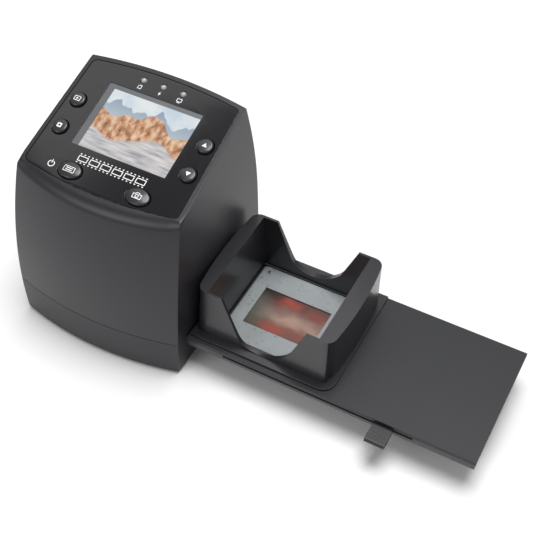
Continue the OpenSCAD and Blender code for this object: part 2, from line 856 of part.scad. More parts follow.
function tray_screw_at() = [
    [tray_left + 3.2, tray_front + 5], [tray_left + 3.2, tray_back - 3],
    [tray_right - 4, tray_front + 5], [tray_right - 4, tray_back - 3]
];

module hopper_notch() {
    a = notch_foot / 2;
    b = notch_top / 2;
    slope = (b - a) / (hopper_z - notch_z);
    lean = atan(slope);
    // The foot's corners are rounded where the level floor meets the leaning side
    foot = [a - notch_r * tan(45 - lean / 2), notch_z + notch_r];
    side = concat(corner(foot, notch_r, -90, -lean), [[b + slope, hopper_z + 1]]);
    polygon(concat(side, mirrored(side)));
}

module plinth_outline() {
    x1 = body_side + 0.4;
    round = corner([plinth_right - plinth_r, plinth_front + plinth_r], plinth_r, -90, 0);
    polygon(concat([[x1, tray_back], [x1, plinth_front]], round, [[plinth_right, tray_back]]));
}

module tray_cover() {
    skin = 1.8;
    funnel_z = tray_top - 0.5;
    // The funnel is cut a little past the hopper's top
    past = 1 + 1 / (hopper_z - funnel_z);
    foot_w = cavity_w - funnel;
    foot_l = cavity_l - funnel;
    color("#47484b") at_home() difference() {
        union() {
            block([tray_left, tray_front, cover_z], [tray_right, tray_back, tray_top]);
            translate([0, 0, tray_top - eps]) linear_extrude(height = plinth_h) plinth_outline();
            translate([hopper_x, hopper_y, tray_top - eps])
                linear_extrude(height = hopper_h + eps)
                    bowed_outline(hopper_w, hopper_l, hopper_bow, hopper_r);
        }
        // The space for the slides narrows downwards, to guide them
        translate([cavity_x, cavity_y, funnel_z]) frustum(foot_w, foot_l,
            foot_w + funnel * past, foot_l + funnel * past, (hopper_z - funnel_z) * past);
        translate([cavity_x, cavity_y, cover_z - 1])
            linear_extrude(height = cover_t + 1) square([foot_w, foot_l], center = true);
        translate([hopper_x, 0, 0]) rotate([90, 0, 0])
            linear_extrude(height = far, center = true) hopper_notch();
        // The thick side walls are hollow from below
        translate([0, 0, cover_z - 1]) linear_extrude(height = hopper_h + cover_t + 1 - skin)
            difference() {
                translate([hopper_x, hopper_y])
                    bowed_outline(hopper_w - 2 * skin, hopper_l - 2 * skin, hopper_bow - skin, 3);
                translate([cavity_x, cavity_y])
                    square([cavity_w + 2 * skin, 2 * cavity_l], center = true);
            }
        translate([gate_x, slide_y, cover_z - 1])
            linear_extrude(height = 5) square([gate_w + 1, gate_l + 1], center = true);
        for (p = tray_screw_at()) translate([p[0], p[1], cover_z - 1]) cylinder(r = pilot_r, h = 2.4);
    }
}

module tray_screws() {
    color("#8d9094") at_home() for (p = tray_screw_at())
        screw(p[0], p[1], tray_z - 0.15, 2.8, 2);
}

// ---- Pusher and slide ----

module pusher() {
    x1 = slide_x + mount_side / 2 + push_gap;
    half = channel_w / 2 - 0.3;
    tab_front = tray_front - tab_l;
    color("#3a3a3d") at_home() {
        difference() {
            union() {
                block([x1, slide_y - half, pusher_z], [tab_x + 26, slide_y + half, pusher_z + pusher_t]);
                block([tab_x, tray_front - 1, pusher_z + 0.1],
                    [tab_x + tab_w, slide_y, pusher_z + pusher_t]);
            }
            for (x = [x1 + 8, x1 + 36]) translate([x + 10, slide_y, pusher_z - 1])
                linear_extrude(height = 4) rounded_rect(20, 20, 3);
        }
        // Finger tab, with its front edge rolled over
        difference() {
            rotate([90, 0, 90]) translate([0, 0, tab_x]) linear_extrude(height = tab_w) {
                translate([tab_front + 1.2, pusher_z - 0.9])
                    square([tab_l - 2, pusher_t + 0.9]);
                translate([tab_front + 1.2, pusher_z + pusher_t - 1.2]) circle(1.2);
            }
            for (i = [0:3]) translate([tab_x + 1.5, tab_front + 2.4 + i * 1.7, pusher_z + pusher_t - 0.2])
                cube([tab_w - 3, 0.7, 1]);
        }
    }
}

module slide_mount() {
    z = channel_z + 0.1;
    color("#9aa3a7") at_home() translate([slide_x, slide_y, z]) difference() {
        linear_extrude(height = mount_t) rounded_rect(mount_side, mount_side, 1.5);
        translate([0, 0, -1]) linear_extrude(height = mount_t + 2) square([film_w, film_l], center = true);
        translate([0, 0, mount_t / 2 - 0.15])
            linear_extrude(height = 0.3) square([film_w + 3, film_l + 3], center = true);
        translate([-mount_side / 2 + 3.4, mount_side / 2 - 3, -1]) cylinder(r = 0.7, h = mount_t + 2);
    }
}

module slide_film() {
    color("#8a4a3a") at_home() translate([slide_x, slide_y, channel_z + 0.1 + mount_t / 2 - 0.08])
        linear_extrude(height = 0.16) square([film_w + 2.6, film_l + 2.6], center = true);
}

upper_shell();
base_shell();
control_panel();
screen_frame();
screen_glass();
indicator_lamps();
button_review();
button_frame();
button_up();
button_down();
button_menu();
button_scan();
key_board();
key_switches();
main_board();
board_chips();
card_socket();
usb_socket();
tv_jack();
film_gate();
light_tunnel();
lens_barrel();
lens_glass();
sensor_board();
image_sensor();
light_box();
backlight_board();
backlight_leds();
diffuser();
screen_ribbon();
sensor_ribbon();
tray_spring();
case_screws();
inner_screws();
rubber_feet();
tray_base();
tray_cover();
tray_screws();
pusher();
slide_mount();
slide_film();
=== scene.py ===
import math

import bmesh
import bpy
import numpy as np
from mathutils import Matrix, Vector


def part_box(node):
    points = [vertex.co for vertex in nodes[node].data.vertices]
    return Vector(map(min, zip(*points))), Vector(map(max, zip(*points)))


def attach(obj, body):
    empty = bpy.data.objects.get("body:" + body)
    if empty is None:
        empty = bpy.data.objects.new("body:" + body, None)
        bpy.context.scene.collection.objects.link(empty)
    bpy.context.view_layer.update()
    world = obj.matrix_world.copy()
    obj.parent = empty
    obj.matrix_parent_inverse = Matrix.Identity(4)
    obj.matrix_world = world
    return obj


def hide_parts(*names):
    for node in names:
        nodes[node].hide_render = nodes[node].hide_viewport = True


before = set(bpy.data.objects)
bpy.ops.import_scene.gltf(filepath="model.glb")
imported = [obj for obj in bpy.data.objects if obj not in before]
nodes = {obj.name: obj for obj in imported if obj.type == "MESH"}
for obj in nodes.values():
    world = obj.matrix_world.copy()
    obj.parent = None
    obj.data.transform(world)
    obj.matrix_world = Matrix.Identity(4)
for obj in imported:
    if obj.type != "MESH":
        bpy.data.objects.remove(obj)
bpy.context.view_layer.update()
scene = bpy.context.scene
mm = 0.001
quarter = math.pi / 2
homeX, homeY = -74.65, 1.15        # middle of the console in the frame, mm
print("frame loaded:", len(nodes), "nodes")


def sceneObject(name, data):
    obj = bpy.data.objects.new(name, data)
    scene.collection.objects.link(obj)
    return obj


# unit is how long one step of the points is, in metres
def meshObject(name, verts, faces, unit=mm):
    mesh = bpy.data.meshes.new(name)
    mesh.from_pydata([tuple(c * unit for c in v) for v in verts], [], faces)
    return sceneObject(name, mesh)


def fixNormals(mesh):
    bm = bmesh.new()
    bm.from_mesh(mesh)
    bmesh.ops.recalc_face_normals(bm, faces=bm.faces)
    bm.to_mesh(mesh)
    bm.free()


def weld(mesh, distance):
    bm = bmesh.new()
    bm.from_mesh(mesh)
    bmesh.ops.remove_doubles(bm, verts=bm.verts, dist=distance)
    bm.to_mesh(mesh)
    bm.free()


# smooth shading up to an angle, a finish as its only material, and the piece's body
def dress(obj, body, finish, smoothAngle=30):
    fixNormals(obj.data)
    obj.data.shade_smooth()
    obj.data.set_sharp_from_angle(angle=math.radians(smoothAngle))
    even = obj.modifiers.new("evenNormals", "WEIGHTED_NORMAL")
    even.keep_sharp = True
    obj.data.materials.clear()
    obj.data.materials.append(finish)
    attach(obj, body)
    return obj


def evaluatedMesh(obj):
    graph = bpy.context.evaluated_depsgraph_get()
    return bpy.data.meshes.new_from_object(obj.evaluated_get(graph), depsgraph=graph)


# keeps what the modifiers make of a mesh and drops them
def bakeModifiers(obj):
    mesh = evaluatedMesh(obj)
    obj.modifiers.clear()
    obj.data = mesh


# a loose copy of a CAD node's mesh, welded, to cut or round
def copyOfNode(node, name):
    mesh = nodes[node].data.copy()
    mesh.name = name
    weld(mesh, 1e-6)
    if "custom_normal" in mesh.attributes:
        mesh.attributes.remove(mesh.attributes["custom_normal"])
    return sceneObject(name, mesh)


def combine(obj, tool, how):
    mod = obj.modifiers.new("combine", "BOOLEAN")
    mod.operation = how
    mod.solver = "MANIFOLD"
    mod.object = tool
    bakeModifiers(obj)


def discard(obj):
    bpy.data.objects.remove(obj, do_unlink=True)


# edges sharper than sharpAngle are rounded; nearly flat neighbours are merged first
rounding = {"sharpAngle": 35, "flatAngle": 0.4, "weldAt": 2e-6}


# a copy of a CAD node with rounded edges, shown in its place. Extras are joined to it and cuts are
# taken out first. widthAt gives an edge its own radius in mm, from its middle and whether it stands out
def roundedNode(node, name, body, finish, width, segments=2, widthAt=None, extras=(), cuts=()):
    obj = copyOfNode(node, name)
    for tool, how in [(t, "UNION") for t in extras] + [(t, "DIFFERENCE") for t in cuts]:
        combine(obj, tool, how)
        discard(tool)
    bm = bmesh.new()
    bm.from_mesh(obj.data)
    bmesh.ops.remove_doubles(bm, verts=bm.verts, dist=rounding["weldAt"])
    bmesh.ops.dissolve_limit(bm, angle_limit=math.radians(rounding["flatAngle"]), verts=bm.verts,
                             edges=bm.edges)
    weight = bm.edges.layers.float.new("bevel_weight_edge")
    for edge in bm.edges:
        if len(edge.link_faces) == 2 and edge.calc_face_angle() > math.radians(rounding["sharpAngle"]):
            middle = (edge.verts[0].co + edge.verts[1].co) / 2 / mm
            edge[weight] = (widthAt(middle, edge.is_convex) if widthAt else width) / width
    bm.to_mesh(obj.data)
    bm.free()
    mod = obj.modifiers.new("round", "BEVEL")
    mod.width = width * mm
    mod.segments = segments
    mod.limit_method = "WEIGHT"
    mod.use_clamp_overlap = True
    bakeModifiers(obj)
    dress(obj, body, finish)
    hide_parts(node)
    return obj


# flat filled shape from closed loops of points, with holes where loops nest
def filledShape(loops, halfDepth=0.0, edge=0.0):
    curve = bpy.data.curves.new("outline", "CURVE")
    curve.dimensions = "2D"
    curve.fill_mode = "BOTH"
    for loop in loops:
        spline = curve.splines.new("POLY")
        spline.points.add(len(loop) - 1)
        for point, (x, y) in zip(spline.points, loop):
            point.co = (x, y, 0, 1)
        spline.use_cyclic_u = True
    curve.extrude = max(halfDepth - edge, 0)
    curve.bevel_depth = edge
    curve.bevel_resolution = 2
    curve.offset = -edge
    holder = sceneObject("outline", curve)
    mesh = evaluatedMesh(holder)
    discard(holder)
    weld(mesh, 1e-5)
    return mesh


# quads between neighbouring rings of equally many points
def ringFaces(rings, count):
    faces = []
    for r in range(rings - 1):
        for i in range(count):
            j = (i + 1) % count
            faces.append((r * count + i, r * count + j, (r + 1) * count + j, (r + 1) * count + i))
    return faces


def smoothstep(t):
    t = np.clip(t, 0, 1)
    return t * t * (3 - 2 * t)


def startFinish(name):
    mat = bpy.data.materials.new(name)
    mat.use_nodes = True
    return mat, mat.node_tree, mat.node_tree.nodes["Principled BSDF"]


# an input that is given a socket is linked to it, any other is set
def feed(tree, node, inputs):
    for key, value in inputs.items():
        if isinstance(value, bpy.types.NodeSocket):
            tree.links.new(value, node.inputs[key])
        else:
            node.inputs[key].default_value = value


def addNode(tree, kind, inputs=None, **settings):
    node = tree.nodes.new(kind)
    for key, value in settings.items():
        setattr(node, key, value)
    feed(tree, node, inputs or {})
    return node


def place(tree):
    return addNode(tree, "ShaderNodeTexCoord").outputs["Object"]


def pictureUv(tree):
    return addNode(tree, "ShaderNodeUVMap", uv_map="picture").outputs["UV"]


def noise(tree, where, scale, detail=2.0, rough=0.5):
    inputs = {"Vector": where, "Scale": scale, "Detail": detail, "Roughness": rough}
    return addNode(tree, "ShaderNodeTexNoise", inputs).outputs["Fac"]


def stretched(tree, where, scale, shift=(0.0, 0.0, 0.0)):
    inputs = {"Vector": where, "Location": shift, "Scale": scale}
    return addNode(tree, "ShaderNodeMapping", inputs).outputs[0]


def maths(tree, a, b, operation):
    return addNode(tree, "ShaderNodeMath", {0: a, 1: b}, operation=operation).outputs[0]


def ramp(tree, source, stops):
    node = addNode(tree, "ShaderNodeValToRGB", {"Fac": source})
    steps = node.color_ramp.elements
    while len(steps) > 1:
        steps.remove(steps[-1])
    for i, (at, colour) in enumerate(stops):
        step = steps[0] if i == 0 else steps.new(at)
        step.position = at
        step.color = (*colour, 1)
    return node.outputs["Color"]


# maps a value from one range onto another
def spread(tree, source, low, high, fromLow=0.0, fromHigh=1.0):
    inputs = {"Value": source, "From Min": fromLow, "From Max": fromHigh, "To Min": low, "To Max": high}
    return addNode(tree, "ShaderNodeMapRange", inputs).outputs["Result"]


def mixIn(tree, factor, low, high, blend="MIX"):
    inputs = {0: factor, 6: low, 7: high}
    return addNode(tree, "ShaderNodeMix", inputs, data_type="RGBA", blend_type=blend).outputs[2]


# fine relief that only the shading shows
def roughen(tree, shader, height, strength, depth):
    bump = addNode(tree, "ShaderNodeBump", {"Height": height, "Strength": strength, "Distance": depth})
    feed(tree, shader, {"Normal": bump.outputs["Normal"]})


def linear(level):
    v = level / 255
    return v / 12.92 if v <= 0.04045 else ((v + 0.055) / 1.055) ** 2.4


# a colour from screen values of 0 to 255
def tone(r, g, b):
    return (linear(r), linear(g), linear(b))


def shade(colour, factor):
    return tuple(c * factor for c in colour)


# moulded plastic: fine spark-eroded grain, slow drift of tone, roughness that wanders a little
moulded = {"driftSize": 38.0, "grainDepth": 0.00005, "wander": 0.05, "speckSize": 520.0}


def mouldedPlastic(name, colour, rough, grain=0.12, grainSize=2600.0, drift=0.10, specks=0.0):
    mat, tree, shader = startFinish(name)
    where = place(tree)
    slow = noise(tree, where, moulded["driftSize"], 4.0, 0.6)
    fine = noise(tree, where, grainSize)
    tint = ramp(tree, slow, [(0.3, shade(colour, 1 - drift)), (0.7, shade(colour, 1 + drift))])
    if specks:
        dirt = noise(tree, where, moulded["speckSize"])
        spots = ramp(tree, dirt, [(0.62, (1, 1, 1)), (0.72, (1 - specks,) * 3)])
        tint = mixIn(tree, 1.0, tint, spots, "MULTIPLY")
    both = maths(tree, slow, fine, "ADD")
    worn = spread(tree, both, rough - moulded["wander"], rough + moulded["wander"], 0.5, 1.5)
    feed(tree, shader, {"Base Color": tint, "Roughness": worn})
    roughen(tree, shader, fine, grain, moulded["grainDepth"])
    return mat


# glossy plastic: polished, with the faint waviness of a moulded sheet and a few dust specks
gloss = {"waveSize": 60.0, "wave": 0.05, "waveDepth": 0.0004, "dustSize": 1900.0, "haze": 0.12,
         "coatRough": 0.06}


def glossPlastic(name, colour, rough=0.12, coat=0.6):
    mat, tree, shader = startFinish(name)
    where = place(tree)
    slow = noise(tree, where, gloss["waveSize"], 3.0)
    tint = ramp(tree, slow, [(0.25, shade(colour, 0.94)), (0.75, shade(colour, 1.06))])
    dust = ramp(tree, noise(tree, where, gloss["dustSize"], 1.0), [(0.70, (0, 0, 0)), (0.78, (1, 1, 1))])
    feed(tree, shader, {"Base Color": tint, "Roughness": spread(tree, dust, rough, rough + gloss["haze"]),
                        "Coat Weight": coat, "Coat Roughness": gloss["coatRough"]})
    roughen(tree, shader, slow, gloss["wave"], gloss["waveDepth"])
    return mat


# plated or rolled metal with brushed streaks along x
streaks = (40, 2400, 2400)


def brushedMetal(name, colour, rough=0.35):
    mat, tree, shader = startFinish(name)
    lines = noise(tree, stretched(tree, place(tree), streaks), 1.0, 3.0)
    tint = ramp(tree, lines, [(0.3, shade(colour, 0.8)), (0.7, colour)])
    feed(tree, shader, {"Base Color": tint, "Roughness": spread(tree, lines, rough - 0.1, rough + 0.1),
                        "Metallic": 1.0})
    return mat


# solder mask with copper tracks showing through as lighter lines
boardLook = {"Scale": 260.0, "Mortar Size": 0.06, "Color1": (*tone(30, 84, 50), 1),
             "Color2": (*tone(34, 92, 54), 1), "Mortar": (*tone(60, 122, 76), 1)}


def boardGreen(name):
    mat, tree, shader = startFinish(name)
    where = place(tree)
    tracks = addNode(tree, "ShaderNodeTexBrick", {"Vector": where, **boardLook})
    worn = spread(tree, noise(tree, where, 900.0), 0.25, 0.4)
    feed(tree, shader, {"Base Color": tracks.outputs["Color"], "Roughness": worn})
    roughen(tree, shader, tracks.outputs["Fac"], 0.3, 0.00003)
    return mat


# 1 where value lies below limit and 0 above it, with a soft step between
def below(tree, value, limit, soft):
    return spread(tree, maths(tree, limit, value, "SUBTRACT"), 0.0, 1.0, -soft, soft)


# lit display: pale sky, far blue hills, autumn woods and a light lake. Each skyline has its place and pace
# across the picture, its detail, the part of the noise that is used, its heights and its softness
landscape = {
    "sky": [(0.35, tone(206, 224, 236)), (0.6, tone(238, 244, 246))],
    "hills": [(0.5, tone(196, 208, 216)), (0.95, tone(138, 160, 184))],
    "woods": [(0.3, tone(134, 88, 58)), (0.44, tone(194, 134, 92)), (0.56, tone(228, 182, 140)),
              (0.7, tone(242, 216, 188))],
    "lake": [(0.3, tone(158, 161, 170)), (0.5, tone(206, 203, 204)), (0.68, tone(236, 232, 228))],
    "skylines": {"hills": (3.1, 4.2, 2.0, (0.25, 0.75), (0.6, 1.0), 0.012),
                 "woods": (0.0, 2.7, 1.2, (0.2, 0.8), (0.42, 0.92), 0.015),
                 "lake": (7.3, 1.7, 0.5, (0.2, 0.8), (0.08, 0.52), 0.02)},
    "glow": 0.82, "unlit": (0.01, 0.01, 0.012),
}


def underSkyline(tree, uv, up, skyline):
    shift, pace, detail, used, heights, soft = skyline
    wander = noise(tree, stretched(tree, uv, (pace, 0.0, 0.0), (shift, 0.0, 0.0)), 1.0, detail)
    return below(tree, up, spread(tree, wander, *heights, *used), soft)


def landscapePicture(name):
    mat, tree, shader = startFinish(name)
    uv = pictureUv(tree)
    up = addNode(tree, "ShaderNodeSeparateXYZ", {0: uv}).outputs[1]
    leaves = noise(tree, stretched(tree, uv, (2.2, 1.0, 1.0)), 8.0, 3.0)
    ripples = noise(tree, stretched(tree, uv, (1.0, 5.0, 1.0)), 4.0, 3.0)
    picture = ramp(tree, noise(tree, uv, 3.4, 4.0), landscape["sky"])
    for ground, source in (("hills", up), ("woods", leaves), ("lake", ripples)):
        inFront = underSkyline(tree, uv, up, landscape["skylines"][ground])
        picture = mixIn(tree, inFront, picture, ramp(tree, source, landscape[ground]))
    worn = spread(tree, leaves, 0.16, 0.24)
    feed(tree, shader, {"Base Color": (*landscape["unlit"], 1), "Roughness": worn,
                        "Emission Color": picture, "Emission Strength": landscape["glow"]})
    return mat


# soft round patch, 1 in its middle and 0 from its radius on
def patch(tree, where, centre, radius):
    far = addNode(tree, "ShaderNodeVectorMath", {0: where, 1: centre}, operation="DISTANCE")
    inputs = {"Value": far.outputs["Value"], "From Max": radius, "To Min": 1.0, "To Max": 0.0}
    return addNode(tree, "ShaderNodeMapRange", inputs, interpolation_type="SMOOTHSTEP").outputs["Result"]


# developed film, out of focus: maroon fields round a pale band, grey at the left end, and soft patches
filmFields = {
    "warm": [(0.0, tone(92, 44, 34)), (0.2, tone(112, 60, 46)), (0.4, tone(148, 118, 106)),
             (0.58, tone(120, 90, 80)), (0.78, tone(92, 44, 36)), (1.0, tone(68, 36, 34))],
    "dull": [(0.0, tone(72, 68, 58)), (0.35, tone(86, 86, 74)), (0.65, tone(90, 84, 78)),
             (0.85, tone(54, 46, 44))],
    "patches": [((0.44, 0.84, 0.0), 0.22, tone(146, 52, 36)), ((0.4, 0.12, 0.0), 0.24, tone(142, 56, 40)),
                ((0.86, 0.74, 0.0), 0.18, tone(118, 46, 34)), ((0.56, 0.42, 0.0), 0.2, tone(158, 128, 114))],
    "bend": 0.32,
}


def filmPicture(name):
    mat, tree, shader = startFinish(name)
    uv = pictureUv(tree)
    push = addNode(tree, "ShaderNodeTexNoise", {"Vector": uv, "Scale": 4.5, "Detail": 2.0}).outputs["Color"]
    for kind, inputs in (("SUBTRACT", {1: (0.5, 0.5, 0.5)}), ("SCALE", {"Scale": filmFields["bend"]}),
                         ("ADD", {1: uv})):
        push = addNode(tree, "ShaderNodeVectorMath", {0: push, **inputs}, operation=kind).outputs[0]
    across, up = addNode(tree, "ShaderNodeSeparateXYZ", {0: push}).outputs[:2]
    warm, dull = ramp(tree, up, filmFields["warm"]), ramp(tree, up, filmFields["dull"])
    picture = mixIn(tree, below(tree, across, 0.24, 0.16), warm, dull)
    for centre, radius, colour in filmFields["patches"]:
        spot = ramp(tree, uv, [(0.0, colour), (1.0, shade(colour, 0.86))])
        picture = mixIn(tree, patch(tree, push, centre, radius), picture, spot)
    feed(tree, shader, {"Base Color": picture, "Roughness": spread(tree, across, 0.22, 0.34)})
    return mat


print("finishes: helpers ready")

casePlastic = mouldedPlastic("casePlastic", tone(33, 33, 38), 0.38, grain=0.10, drift=0.05)
basePlastic = mouldedPlastic("basePlastic", tone(31, 31, 36), 0.42, grain=0.10, drift=0.05)
overlayGloss = glossPlastic("overlayGloss", tone(16, 16, 20), rough=0.14, coat=0.2)
buttonGloss = glossPlastic("buttonGloss", tone(40, 40, 43), rough=0.3, coat=0.2)
trayPlastic = mouldedPlastic("trayPlastic", tone(23, 24, 29), 0.52, grain=0.16, drift=0.06)
trayBottom = mouldedPlastic("trayBottom", tone(66, 66, 69), 0.5, grain=0.12)
hopperPlastic = glossPlastic("hopperPlastic", tone(36, 36, 40), rough=0.32, coat=0.2)
pusherPlastic = mouldedPlastic("pusherPlastic", tone(26, 26, 29), 0.42)
mountPlastic = mouldedPlastic("mountPlastic", tone(138, 143, 145), 0.45, grain=0.2, grainSize=1800.0,
                              drift=0.12, specks=0.4)
bezelFilm = mouldedPlastic("bezelFilm", tone(92, 94, 98), 0.4, grain=0.05)
lampLens = glossPlastic("lampLens", tone(166, 167, 171), rough=0.2)
markInk = mouldedPlastic("markInk", tone(242, 242, 243), 0.45, grain=0.05)
footRubber = mouldedPlastic("footRubber", tone(24, 24, 25), 0.75, grain=0.3)
gateBlack = mouldedPlastic("gateBlack", tone(40, 40, 42), 0.6)
opticsBlack = mouldedPlastic("opticsBlack", tone(26, 26, 27), 0.7)
socketBlack = mouldedPlastic("socketBlack", tone(30, 30, 32), 0.4)
whitePlastic = mouldedPlastic("whitePlastic", tone(228, 229, 230), 0.5, grain=0.05, drift=0.03)
ledPackage = glossPlastic("ledPackage", tone(238, 232, 196), rough=0.25)
tinPlate = brushedMetal("tinPlate", tone(190, 192, 195))
screwSteel = brushedMetal("screwSteel", tone(150, 153, 157), 0.3)
springSteel = brushedMetal("springSteel", tone(196, 199, 202), 0.25)
greenBoard = boardGreen("greenBoard")
amberRibbon = glossPlastic("amberRibbon", tone(176, 112, 52), rough=0.3)
screenPicture = landscapePicture("screenPicture")
lensGlass = glossPlastic("lensGlass", tone(150, 176, 186), rough=0.05, coat=1.0)
sensorGlass = glossPlastic("sensorGlass", tone(72, 84, 98), rough=0.08, coat=1.0)
filmStock = filmPicture("filmStock")

nodeFinish = (
    (casePlastic, ["upper_shell"]), (basePlastic, ["base_shell"]), (overlayGloss, ["control_panel"]),
    (bezelFilm, ["screen_frame"]), (lampLens, ["indicator_lamps"]),
    (lensGlass, ["screen_glass", "lens_glass"]),
    (buttonGloss, ["button_review", "button_frame", "button_up", "button_down", "button_menu",
                   "button_scan"]),
    (greenBoard, ["key_board", "main_board", "sensor_board"]), (socketBlack, ["board_chips", "tv_jack"]),
    (tinPlate, ["key_switches", "card_socket", "usb_socket"]), (gateBlack, ["film_gate"]),
    (opticsBlack, ["light_tunnel", "lens_barrel"]), (sensorGlass, ["image_sensor"]),
    (whitePlastic, ["light_box", "backlight_board", "diffuser"]), (ledPackage, ["backlight_leds"]),
    (amberRibbon, ["screen_ribbon", "sensor_ribbon"]), (springSteel, ["tray_spring"]),
    (screwSteel, ["case_screws", "inner_screws", "tray_screws"]), (footRubber, ["rubber_feet"]),
    (trayBottom, ["tray_base"]), (trayPlastic, ["tray_cover"]), (pusherPlastic, ["pusher"]),
    (mountPlastic, ["slide_mount"]), (filmStock, ["slide_film"]),
)
for finish, names in nodeFinish:
    for name in names:
        slots = nodes[name].data.materials
        if not slots:
            slots.append(finish)
        for i in range(len(slots)):
            slots[i] = finish
print("finishes: on all CAD nodes")


studio = {
    "eye": (155.15, -293.59, 430.56),      # mm
    "right": (0.88229, 0.47067, 0.00484),
    "up": (-0.35548, 0.65955, 0.66229),
    "back": (0.30853, -0.58606, 0.74923),
    "lens": 70.89, "sensor": 36.0,
    "shift": (0.0003, -0.0023),
    "floor": (0.93, 0.93, 0.93), "floorHalf": 6.0,
    "sky": 0.27,
    # each light box: its place and aim in metres, width, depth and power
    "lights": {
        "keyBox": ((0.08, 0.2, 1.4), (0, 0, 0), 0.8, 0.8, 18.5),
        "backBox": ((-0.64, 0.56, 1.2), (-0.07, 0.02, 0.1), 1.0, 0.5, 1.8),
        "lipBox": ((-0.5, -1.1, 0.75), (-0.07, 0, 0.08), 0.8, 0.5, 4.4),
    },
}


def makeCamera():
    data = bpy.data.cameras.new("camera")
    data.lens = studio["lens"]
    data.sensor_width = studio["sensor"]
    data.shift_x, data.shift_y = studio["shift"]
    data.clip_start, data.clip_end = 0.01, 20
    cam = sceneObject("camera", data)
    right, up, back = (Vector(studio[k]).normalized() for k in ("right", "up", "back"))
    turn = Matrix((right, up, back)).transposed().to_4x4()
    turn.translation = Vector(studio["eye"]) * mm
    cam.matrix_world = turn
    bpy.context.scene.camera = cam


def makeLights():
    for name, (where, aim, width, depth, power) in studio["lights"].items():
        data = bpy.data.lights.new(name, "AREA")
        data.energy = power
        data.shape = "RECTANGLE"
        data.size, data.size_y = width, depth
        lamp = sceneObject(name, data)
        lamp.location = where
        lamp.rotation_mode = "QUATERNION"
        lamp.rotation_quaternion = (Vector(aim) - Vector(where)).to_track_quat("-Z", "Y")


def makeStudio():
    s = studio["floorHalf"]
    floor = meshObject("floor", [(-s, -s, 0), (s, -s, 0), (s, s, 0), (-s, s, 0)], [(0, 1, 2, 3)], 1)
    mat, tree, shader = startFinish("paperFloor")
    feed(tree, shader, {"Base Color": (*studio["floor"], 1), "Roughness": 0.9, "Specular IOR Level": 0.1})
    floor.data.materials.append(mat)
    world = bpy.data.worlds.new("studio")
    scene.world = world
    world.use_nodes = True
    feed(world.node_tree, world.node_tree.nodes["Background"],
         {"Color": (1, 1, 1, 1), "Strength": studio["sky"]})
    makeLights()
    scene.view_settings.view_transform = "Standard"


makeCamera()
makeStudio()
print("camera and studio ready")


housing = {
    "halfWidth": 46.5, "sideRadius": 750.0, "sideLevel": 38.0,
    "frontRadius": 259.2, "frontRing": 85.8, "frontCentre": (211.9, 11.1),
    "backRadius": 260.0, "backCentre": (-215.0, 62.0),
    "consoleHeight": 101.2, "consoleTilt": 16.6, "bottom": 1.0, "inset": 0.06,
    "frontLip": 3.4, "lipFade": 12.0, "rimEdge": 0.3, "uprightEdge": 0.5, "footEdge": 0.8,
}
# how the form is drawn: steps in a quarter turn, crowded at the corners, and rows from foot to console
formRows = {
    "quarterSteps": 30, "crowding": 1.9, "cornerGuess": (89.0, 113.0), "halvings": 40,
    "frontSearch": (-60.0, 0.0), "frontHalvings": 30,
    "foot": 6, "wall": 26, "wallEnd": 8.0, "heart": (9.0, 10.0), "reach": 90.0, "rimReach": 30.0,
    "underRim": (7.0, 6.2, 5.4, 4.7, 4.0, 3.4, 2.9, 2.4, 2.0, 1.6, 1.3, 1.0, 0.75, 0.55, 0.38, 0.24,
                 0.12, 0),
    "overRim": (0.12, 0.24, 0.38, 0.55, 0.75, 1.0, 1.3, 1.6, 2.0, 2.5, 3.0, 3.6, 4.3, 5.2, 6.2),
}
tilt = math.radians(housing["consoleTilt"])
slopeUp = np.array([0, math.cos(tilt), math.sin(tilt)])
slopeNormal = np.array([0, -math.sin(tilt), math.cos(tilt)])
ringHeart = np.array([0, *housing["frontCentre"]]) - housing["frontRing"] * slopeUp


# console coordinates: x, up the slope, out of it
def consolePoint(x, v, n):
    return (x + homeX, v * math.cos(tilt) - n * math.sin(tilt) + homeY,
            housing["consoleHeight"] + v * math.sin(tilt) + n * math.cos(tilt))


# rounds the meeting of two surfaces, given as signed distances
def roundJoin(a, b, r):
    outside = np.hypot(np.maximum(a + r, 0), np.maximum(b + r, 0))
    return np.minimum(np.maximum(a + r, b + r), 0) + outside - r


# signed distances: to the whole wall, to its front and to its sides
def wallDistance(p):
    x, y, z = p[..., 0], p[..., 1], p[..., 2]
    along = (p - ringHeart) @ slopeUp
    reach = np.hypot(x, along) + housing["frontRing"]
    farInside = -40.0
    front = np.hypot(reach, (p - ringHeart) @ slopeNormal) - housing["frontRadius"]
    front = np.where(along < 0, front, farInside)
    by, bz = housing["backCentre"]
    lift = np.maximum(z - bz, 0)
    back = np.sqrt(x * x + (y - by) ** 2 + lift ** 2) - housing["backRadius"]
    side = np.hypot(np.abs(x) + housing["sideRadius"] - housing["halfWidth"],
                    z - housing["sideLevel"]) - housing["sideRadius"]
    return roundJoin(np.maximum(front, back), side, housing["uprightEdge"]), front, side


# to the wall and console together; the front lip's roll fades to a crisp rim at the sides and back
def housingDistance(p):
    wall, front, side = wallDistance(p)
    top = (p - np.array([0, 0, housing["consoleHeight"]])) @ slopeNormal
    rolled = smoothstep(0.5 + (front - side) / housing["lipFade"])
    r = housing["rimEdge"] + (housing["frontLip"] - housing["rimEdge"]) * rolled
    return roundJoin(wall, top, r) + housing["inset"]


# the last place along each ray that is still inside, found by halving
def lastInside(count, reach, isInside):
    low, high = np.zeros(count), np.full(count, reach)
    for _ in range(formRows["halvings"]):
        mid = (low + high) / 2
        inside = isInside(mid)
        low, high = np.where(inside, mid, low), np.where(inside, high, mid)
    return low


def castRays(start, aim, distance, reach):
    far = lastInside(len(start), reach, lambda mid: distance(start + aim * mid[:, None]) < 0)
    return start + aim * far[:, None]


